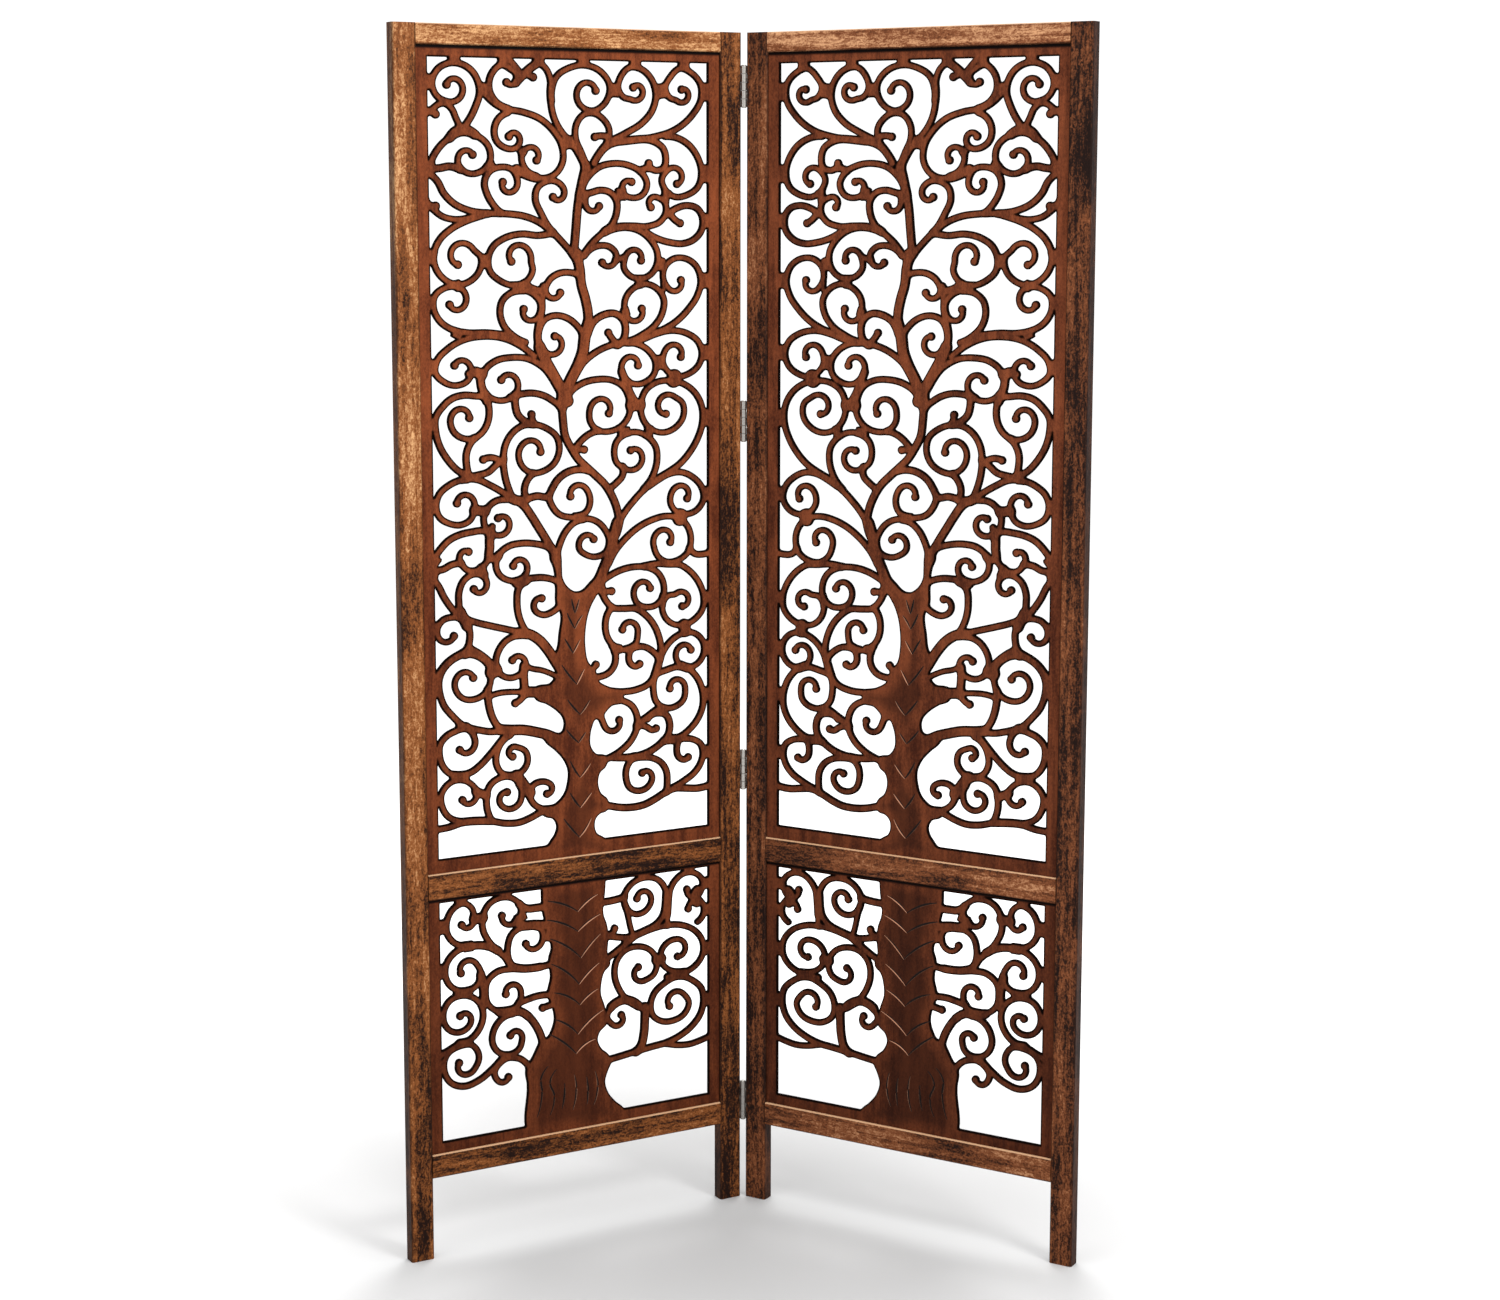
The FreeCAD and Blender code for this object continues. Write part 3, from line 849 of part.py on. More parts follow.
# The pin axis stands behind the middle of the depth by as much as puts that middle at y = 0.
half_fold = math.radians(180 - included_angle) / 2
nearest = front * math.cos(half_fold) - outer_edge * math.sin(half_fold)
farthest = back * math.cos(half_fold) - inner_edge * math.sin(half_fold)
pin_axis = FreeCAD.Vector(0, -(nearest + farthest) / 2, 0)


def place_right(shape):
    shape = shape.copy()
    shape.rotate(FreeCAD.Vector(0, 0, 0), FreeCAD.Vector(0, 0, 1), -math.degrees(half_fold))
    shape.translate(pin_axis)
    return shape


def place_left(shape):
    return place_right(shape).mirror(FreeCAD.Vector(0, 0, 0), FreeCAD.Vector(1, 0, 0))


panel = {
    "outer_stile": stile(opening_outer, outer_edge),
    "hinge_stile": hinge_stile(),
    "upper_jali": jali(upper_shares, *upper_board),
    "lower_jali": jali(lower_shares, *lower_board)}
for name, span in rails.items():
    panel[name] = rail(*span)

nodes = {}
for name, shape in panel.items():
    nodes["left_" + name] = place_left(shape)
    nodes["right_" + name] = place_right(shape)
for number, height in enumerate(hinge_heights, 1):
    rows = range(knuckle_count)
    nodes["hinge_%d_left_leaf" % number] = place_left(leaf(height, rows[0::2]))
    nodes["hinge_%d_right_leaf" % number] = place_right(leaf(height, rows[1::2]))
    nodes["hinge_%d_pin" % number] = place_left(pin(height))

os.makedirs("parts", exist_ok=True)
for name, shape in nodes.items():
    shape.exportStep("parts/%s.step" % name)
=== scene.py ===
import cmath
import json
import math

import bpy
import numpy as np
from mathutils import Matrix, Vector


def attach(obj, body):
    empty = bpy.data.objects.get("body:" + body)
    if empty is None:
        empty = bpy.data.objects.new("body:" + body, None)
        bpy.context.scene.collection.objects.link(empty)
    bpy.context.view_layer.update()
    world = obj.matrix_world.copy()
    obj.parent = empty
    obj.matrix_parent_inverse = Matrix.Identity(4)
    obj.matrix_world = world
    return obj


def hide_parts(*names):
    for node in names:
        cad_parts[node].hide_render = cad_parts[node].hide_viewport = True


# Looks of the carved jali screen. A panel is worked out flat in millimetres: x runs from the pin
# axis to the free edge, y from the pin axis to the back, z up. It is then turned about the pin
# axis, and its mirror image is the other panel.

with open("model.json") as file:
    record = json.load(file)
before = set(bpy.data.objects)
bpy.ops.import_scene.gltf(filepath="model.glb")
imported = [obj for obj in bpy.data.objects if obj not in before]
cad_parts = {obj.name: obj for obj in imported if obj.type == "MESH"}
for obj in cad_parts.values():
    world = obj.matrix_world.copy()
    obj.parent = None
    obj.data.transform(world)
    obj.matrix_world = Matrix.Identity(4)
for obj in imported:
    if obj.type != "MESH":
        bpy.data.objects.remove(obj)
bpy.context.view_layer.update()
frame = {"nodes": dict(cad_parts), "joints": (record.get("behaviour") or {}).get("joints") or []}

MM = 0.001
pin_axis = Vector(frame["joints"][0]["pos_m"])
half_fold = math.radians(30)

# Frame of one panel
panel_height = 1830
panel_width = 565
stile_width = 36
top_rail_height = 30
mid_rail_height = 39
bottom_rail_height = 36
leg_height = 125
lower_opening_height = 392
inner_edge = 3.2
front = 2

# Jali boards
board_recess = 5
board_thickness = 5
board_lap = 6
field_side_margin = 19.5
upper_field_top_margin = 17
upper_field_bottom_margin = 21
lower_field_top_margin = 7
lower_field_bottom_margin = 17
vine_width = 8.6
vine_tip_share = 0.82
ball_radius = 5.3
burnt_edge = 1.3
curl_shrink_share = 0.35
curve_steps = 8
fillet = 4
grid_cell = 2.5
back_rim = 0.5
carving_width = 3.6
carving_tip_share = 0.35
carving_end_share = 0.02

# The rounded front rim of the wood: how far out, and how far down from the front
rim_profile = ((0, 0), (0.35, 0.08), (0.8, 0.4), (1.1, 0.8), (1.2, 1.3))

# A carved line from side to side: place as a share of its width, how far it is raised, and the
# lightness of an unlit and of a fully lit line
carving_profile = ((0.5, 0.02, 0.2, 0.2), (0.08, 0.06, 0, 0), (-0.1, 0.06, 0, 1), (-0.5, 0.02, 0.35, 1))

# Hinges, numbered from the top down
hinge_heights = (1750, 1243, 697, 160)
hinge_length = 62
barrel_radius = 4.5
pin_radius = 2.2
pin_head_radius = 3.6
pin_head_thickness = 1.2
knuckle_gap = 0.3
knuckle_count = 5
leaf_thickness = 2
leaf_depth = 15
barrel_clearance = 0.35
screws_per_leaf = 3
screw_head_radius = 3
screw_head_sides = 18
round_sides = 28
edge_ease = 0.35
sharp_angle = 42

# A pin's head from its end inward: radius and height as shares of the head's
pin_head_profile_shares = ((0.5, 1), (0.9, 0.7), (1, 0))

# A screw's head: radius as a share of the head's, and depth from the leaf's face
screw_head_profile = ((1, 0.3), (1, -0.05), (0.9, -0.3), (0.55, -0.45), (0.25, -0.3))

# Marks on the wood, and painted light and shade on it, in millimetres: how wide each is, where it starts to
# fade, how far it wanders
worn_edge_width = 3
worn_edge_wander = 6
# A painted highlight: a pale line along a rail's top edge, where light catches it
highlight_line_width = 1.8
highlight_line_fade = 0.8
highlight_line_wander = 1.2
dark_core_start = 10
dark_core_full = 30
dark_core_wander = 50
# A painted shadow on a board just below a rail, where the rail shades it
rail_shadow_width = 7
rail_shadow_fade = 3
burnt_rim_width = 3.4
burnt_rim_fade = 1.4
burnt_rim_wander = 1
# The board darkens towards its foot, between these heights
foot_darkening_low = 100
foot_darkening_high = 1300

# Places that several pieces share
outer_edge = inner_edge + panel_width
opening_inner = inner_edge + stile_width
opening_outer = outer_edge - stile_width
board_front = front + board_recess
board_back = board_front + board_thickness
bottom_rail_top = leg_height + bottom_rail_height
mid_rail_bottom = bottom_rail_top + lower_opening_height
mid_rail_top = mid_rail_bottom + mid_rail_height
top_rail_bottom = panel_height - top_rail_height
rim_width = rim_profile[-1][0]

# Drawing of the jali boards. A point is (across, up) in hundredths of the board's field, from its
# lower corner at the outer stile. A curl is its turn in degrees, then points, the last its ball's
# centre. A stem or bridge is its width as a share of the vine's, then points. A bud is points, the
# last the middle of its round end. The trunk is its outline.
upper_curl_shares = (
    (270, (12.3, 91.6), (16.2, 93.9), (17.9, 96.1), (15.3, 98.4), (9.1, 99.35), (3.3, 98.4), (1.6, 96.8),
     (3.2, 95.3), (6.8, 94.65), (6.6, 96.7)),
    (-210, (27.5, 93.9), (23.5, 94.7), (21.2, 96.3), (22.1, 98.1), (25.7, 99.2), (29.3, 98.6),
     (27.3, 97.1)),
    (-209, (55, 86.6), (52.6, 88.4), (50, 89.8), (47, 90.9), (44.4, 92.4), (43, 94.2), (43.1, 96.2),
     (44.8, 97.9), (49.2, 99), (55.7, 99.4), (61, 98.6), (64, 96.9), (62.5, 94.9), (57.3, 93.8),
     (53, 94.6), (58.9, 96.3)),
    (-248, (19.5, 95.8), (22.8, 94.6), (27, 93.9), (33, 93.5), (39, 92.7), (43.5, 91.3), (46.6, 89.4),
     (46.9, 87.5), (44, 85.9), (39.4, 85.4), (35, 86), (32.5, 87.3), (37.6, 87.6)),
    (243, (27.5, 93.4), (24, 92.5), (22.8, 91.2), (23.5, 90), (26, 89.2), (29.3, 89), (27.9, 90.5)),
    (-195, (0.5, 87), (2.7, 88.6), (6, 89.9), (12, 90.9), (17, 90.5), (20.8, 89.2), (21.3, 87.6),
     (18.5, 86.3), (14, 85.95), (11, 86.6), (15.2, 88.25)),
    (-222, (24.5, 81.2), (22, 82.2), (20.1, 83.4), (19.2, 84.8), (20.7, 86.1), (24.9, 86.75), (29, 86.4),
     (30.7, 85.2), (25.6, 84.9)),
    (-165, (43, 78.6), (39, 81), (37, 82.8), (37.6, 84.1), (41, 85), (45, 84.9), (47.3, 83.9),
     (43.3, 83.05)),
    (256, (63.5, 90), (70, 91.1), (75.9, 92.4), (79.6, 94), (80.9, 95.9), (79.4, 97.8), (75.5, 99.1),
     (71.5, 99.3), (68.2, 98.2), (67.1, 96.6), (68.8, 95.6), (72, 95.25), (72.6, 96.8)),
    (239, (68, 90.1), (75.9, 90.35), (81.6, 90.75), (86.5, 91.3), (90.8, 92.2), (94.8, 93.6),
     (97.7, 95.4), (97.6, 97.3), (94, 98.8), (90, 99.3), (86.3, 98.2), (84.4, 96.8), (86, 95.6),
     (88.8, 95.2), (90.5, 96.65)),
    (-210, (84.5, 90.7), (89, 90.5), (93, 89.7), (96.3, 88.2), (97.9, 86.2), (96.7, 84.4), (92.5, 83.3),
     (87.5, 83.1), (84.2, 84), (83, 85.3), (85, 86.4), (88.7, 84.7)),
    (-168, (53.5, 84), (56, 85.6), (60, 86.8), (65, 87.25), (71, 87), (75.5, 86.1), (77.5, 84.6),
     (75.7, 83.3), (72, 82.95), (69, 83.4), (71.8, 84.95)),
    (167, (62, 78.8), (66.5, 79.3), (72, 79.4), (78, 79.35), (82.6, 80), (84.6, 81.3), (83.6, 82.6),
     (81.2, 83), (78.9, 81.75)),
    (150, (53, 83.4), (54.8, 82.2), (59.9, 81.9)),
    (222, (20, 81), (13, 80.2), (7.5, 79.2), (3.5, 77.9), (1.4, 76.2), (1.8, 74.6), (5, 73), (9.5, 72.35),
     (14, 72.8), (17.3, 74.2), (17.7, 75.6), (15, 76.7), (9.6, 74.8)),
    (-192, (27, 65.9), (20, 66.3), (12.5, 66.4), (7, 66.9), (3.2, 67.9), (1.1, 69.4), (1.5, 71),
     (4.5, 71.9), (8.5, 72.1), (11.8, 71.4), (6.6, 69.9)),
    (229, (43, 78.6), (38, 78.3), (32, 78.5), (26, 78), (22, 77), (20.2, 75.5), (20.7, 74), (24, 72.8),
     (29, 72.15), (33.5, 72.6), (35.8, 74), (35.3, 75.2), (28.3, 75.1)),
    (-180, (33, 65), (28.5, 65.9), (25.3, 67.2), (24.1, 68.8), (24.9, 70.2), (28, 71.2), (32.5, 71.5),
     (36.6, 70.8), (38.6, 69.6), (38, 68.4), (32.5, 69.15)),
    (150, (53, 73.2), (49.5, 73.6), (45, 73.5), (41.5, 72.6), (40.3, 71.3), (45.6, 71.1)),
    (229, (54.5, 65), (52, 66.7), (48, 67.9), (43.5, 68.25), (40, 67.8), (38, 66.6), (37.6, 65.2),
     (39.5, 63.9), (43.5, 65.65)),
    (200, (36, 63.2), (32, 64.4), (26, 65.5), (18, 65.9), (11, 65.5), (5.5, 64.4), (1.9, 63), (1.3, 61.6),
     (4.2, 60.4), (8.5, 59.9), (12.6, 60.5), (8, 62.4)),
    (208, (42.5, 60.6), (38.5, 62), (34, 62.9), (28, 63.15), (22.5, 62.8), (18.8, 61.8), (17.2, 60.4),
     (18, 59.2), (20.5, 58.2), (24.5, 57.8), (28.5, 58.3), (24.3, 60.4)),
    (-186, (62, 78.6), (66, 79.1), (70, 79.2), (75, 78.7), (79, 77.5), (81.3, 75.9), (81, 74.4),
     (78.7, 73.2), (74.8, 72.7), (71, 73.1), (68.8, 74.2), (69.3, 75.4), (75.2, 75)),
    (-163, (54.5, 75.8), (57, 76.6), (60, 76.95), (64, 76.7), (66, 75.8), (60.9, 74.8)),
    (205, (70, 64.6), (75.5, 65.5), (80, 66.6), (83, 68.2), (83.6, 70), (81, 71.4), (76.5, 72),
     (72, 71.4), (69.4, 70.2), (69, 68.7), (75.4, 68.85)),
    (165, (80, 65.7), (84.5, 66.3), (89, 67.3), (93, 68.7), (96.3, 70.4), (97.6, 72.3), (95.8, 74.2),
     (91.5, 75.2), (87, 75.1), (84, 74.1), (83.4, 72.7), (85.3, 71.4), (90.1, 72.4)),
    (-200, (50, 60.6), (54, 62.3), (59, 63.6), (64, 64.3), (69, 64.55), (74, 64.3), (78, 63.4),
     (80.4, 61.9), (80, 60.5), (77, 59.5), (73, 59.2), (69.5, 59.8), (67.8, 61), (73.9, 61.6)),
    (-188, (71, 64.7), (76, 65), (81, 65.65), (87, 65.95), (92.5, 65.5), (96.6, 64.4), (98, 62.9),
     (96.8, 61.4), (93, 60.3), (88.5, 60), (85, 60.7), (83.2, 61.9), (83.8, 63.2), (90, 62.5)),
    (-190, (18.5, 58.7), (19.8, 57), (19.6, 55.5), (17.5, 54), (14, 53.2), (10.5, 53.3), (7.5, 54.1),
     (6.3, 55.3), (12.9, 55.8)),
    (-200, (28.5, 45), (26.2, 46.9), (25, 48.7), (24.7, 50.4), (25.3, 52), (27.8, 53.6), (31.5, 54.5),
     (36, 54.6), (40.5, 54), (43.9, 52.9), (44.8, 51.3), (43.2, 49.7), (39.5, 48.7), (35, 48.5),
     (31.8, 49.2), (30.2, 50.5), (38, 51.1)),
    (160, (40.8, 45.3), (42, 44.1), (44.5, 43), (48, 42.55), (52, 42.6), (54.9, 43.3), (55.9, 44.6),
     (54.6, 46), (48.7, 45.2)),
    (197, (27, 45.5), (24, 46.3), (20, 47.2), (15.5, 48), (10, 48.1), (5.5, 47.5), (2, 46.4), (0.9, 45),
     (2, 43.6), (5.5, 42.7), (9.5, 42.45), (13, 43.1), (14.2, 44.3), (8.2, 45.2)),
    (248, (31, 45.2), (26, 45.3), (22, 45.2), (19, 44.4), (17.5, 43.1), (18.3, 41.8), (21, 41),
     (22.6, 43)),
    (-209, (47, 57.3), (49.5, 58.7), (53.5, 59.6), (59, 60), (64.5, 59.8), (68.5, 58.9), (70.6, 57.2),
     (70.6, 55.4), (68, 54), (63.5, 53.3), (59, 53.5), (56.2, 54.6), (55.9, 56), (63, 55.6)),
    (220, (78, 46), (84.7, 47.5), (89.5, 48.6), (93.2, 50), (96.3, 51.8), (98.2, 54), (97.9, 56),
     (95.3, 57.8), (91, 59), (86, 59.5), (80.5, 59.3), (76.6, 58.3), (74.9, 56.6), (75.6, 54.7),
     (78.8, 53.3), (83.5, 52.8), (88, 53.4), (90.9, 54.8), (90.6, 56.5), (87.5, 57.4), (84.3, 55.2)),
    (241, (67, 41.8), (69.5, 43.1), (73, 44.5), (76.8, 45.9), (79.6, 47.5), (80.9, 49.3), (80.4, 51),
     (77.5, 52.3), (73.5, 53), (69, 52.8), (65.8, 51.9), (64.9, 50.6), (65.8, 49.2), (69, 48.35),
     (71, 50.7)),
    (-194, (76, 45.6), (80, 46.6), (85, 47.35), (90, 47.5), (94.3, 46.8), (97.8, 45.4), (98.6, 43.9),
     (96.3, 42.5), (92, 41.95), (88, 42.4), (85.9, 43.6), (86.4, 44.9), (92.3, 44)),
    (-170, (43.5, 37.5), (44.8, 39.3), (47, 40.8), (50, 41.8), (54.5, 42.2), (58.5, 41.7), (61.5, 40.5),
     (62.9, 39), (61.8, 37.8), (58.3, 37.2), (54.5, 37.5), (51.7, 38.5), (57.1, 39.5)),
    (-160, (20.5, 42), (19.5, 40.5), (19.4, 39), (18.2, 37.5), (15, 36.6), (11.5, 36.7), (9.2, 37.7),
     (12, 39)),
    (-214, (8.6, 30.8), (8.4, 32.3), (8.5, 34), (10.2, 35.4), (13.5, 36.1), (16.9, 35.8), (13.7, 34.2)),
    (171, (10.3, 25.9), (11.8, 27.4), (11.9, 29.1), (10, 30.4), (6, 30.85), (2.4, 30.5), (0.6, 29.4),
     (6.5, 28.45)),
    (-185, (8.5, 17.1), (5.5, 18.3), (2.8, 19.6), (1.3, 21.2), (1.1, 23), (3.3, 24.7), (7, 25.7),
     (11, 25.95), (15.5, 25.4), (18.6, 24.2), (19.3, 22.6), (17.8, 21), (13.8, 20.15), (9.3, 20.4),
     (6.8, 21.6), (13.1, 22.9)),
    (213, (32, 27.8), (28.5, 27.8), (25, 27.3), (22.4, 26.2), (21.2, 24.7), (22.4, 23.2), (26, 22.45),
     (30, 22.8), (27.1, 24.7)),
    (-146, (45, 32), (44, 31.1), (41.8, 30.5), (38.5, 30.2), (35.6, 30.8), (37.9, 32.35)),
    (195, (41.5, 38.7), (36, 39.4), (31, 39.6), (26, 39.3), (22.8, 38.4), (21.6, 37.2), (22.6, 35.9),
     (26, 35), (30, 34.95), (32.6, 35.9), (27.8, 36.8)),
    (-230, (62.5, 36.3), (66, 38.2), (69.5, 39.5), (74, 40.7), (79, 41.5), (84.5, 41.85), (89.5, 41.4),
     (92.6, 40.2), (93.7, 38.6), (92.6, 37), (89, 36), (84.5, 35.85), (81, 36.7), (79.5, 38.1),
     (85.8, 38.4)),
    (-220, (76, 35.5), (80, 35.7), (85, 35.5), (89.5, 35.3), (93.5, 34.3), (96.7, 32.8), (98.5, 31),
     (98.2, 29.3), (95.3, 28), (91, 27.35), (86.5, 27.6), (83.5, 28.7), (82.8, 30.3), (84.6, 31.3),
     (88, 31.55), (90.3, 29.8)),
    (-175, (59.5, 33.8), (63, 34.6), (67, 35.2), (72, 35.5), (77, 35.3), (81, 34.5), (83.1, 33.1),
     (83, 31.4), (80.5, 30.3), (76.5, 30.1), (73, 30.8), (71.9, 32), (78.1, 32.55)),
    (185, (63.5, 30.4), (61.8, 29.4), (61.2, 28), (61.9, 26.6), (64.5, 25.3), (69, 24.75), (72.5, 25.4),
     (73.4, 26.8), (67.6, 27.4)),
    (-165, (81, 22), (82.8, 23.9), (85.5, 25.2), (88.8, 26), (92.5, 26.3), (96.2, 25.8), (98.5, 24.6),
     (98.5, 23.2), (96.2, 22), (92.5, 21.6), (89, 22.2), (87.8, 23.4), (93.6, 23.9)),
    (-161, (8.5, 16.6), (11.5, 16.2), (13.4, 14.9), (8, 13.8)),
    (-180, (17.5, 4.2), (12, 4.4), (7.5, 4.6), (3.8, 5.3), (1.5, 6.7), (1.2, 8.3), (3.5, 9.5), (7.5, 10),
     (11, 9.5), (13.6, 8.3), (8.7, 7.3)),
    (-140, (19, 4.2), (17.6, 5.5), (17.3, 7.2), (18.6, 8.8), (22, 9.6), (26, 9.6), (29, 8.7), (30, 7.3),
     (28.8, 5.9), (25.5, 5.4), (22.4, 6.1), (24.7, 7.65)),
    (200, (26, 15), (23, 14.3), (21.2, 13), (20.9, 11.5), (22.6, 10.3), (26, 9.8), (30, 10.1),
     (32.2, 11.3), (31.5, 12.7), (28.2, 13.4), (26.8, 12.2)),
    (-150, (41, 4.6), (37.5, 4.9), (34.3, 5.7), (32.8, 7), (34, 8.1), (37.3, 8.5), (40.3, 8.1),
     (39.2, 6.8)),
    (170, (58.5, 17.4), (59.7, 15.8), (61.2, 14.6), (66.2, 15.5)),
    (190, (81, 22.3), (79.6, 20.8), (79.2, 19), (80.3, 17.4), (83.5, 16.5), (87.5, 16.5), (90.8, 17.4),
     (91.4, 18.8), (85.5, 19)),
    (138, (72, 10.4), (69.1, 9.2), (68.7, 7.6), (70.1, 6.3), (73.5, 5.75), (76.8, 6.1), (78.6, 7.2),
     (74.8, 8.1)),
)
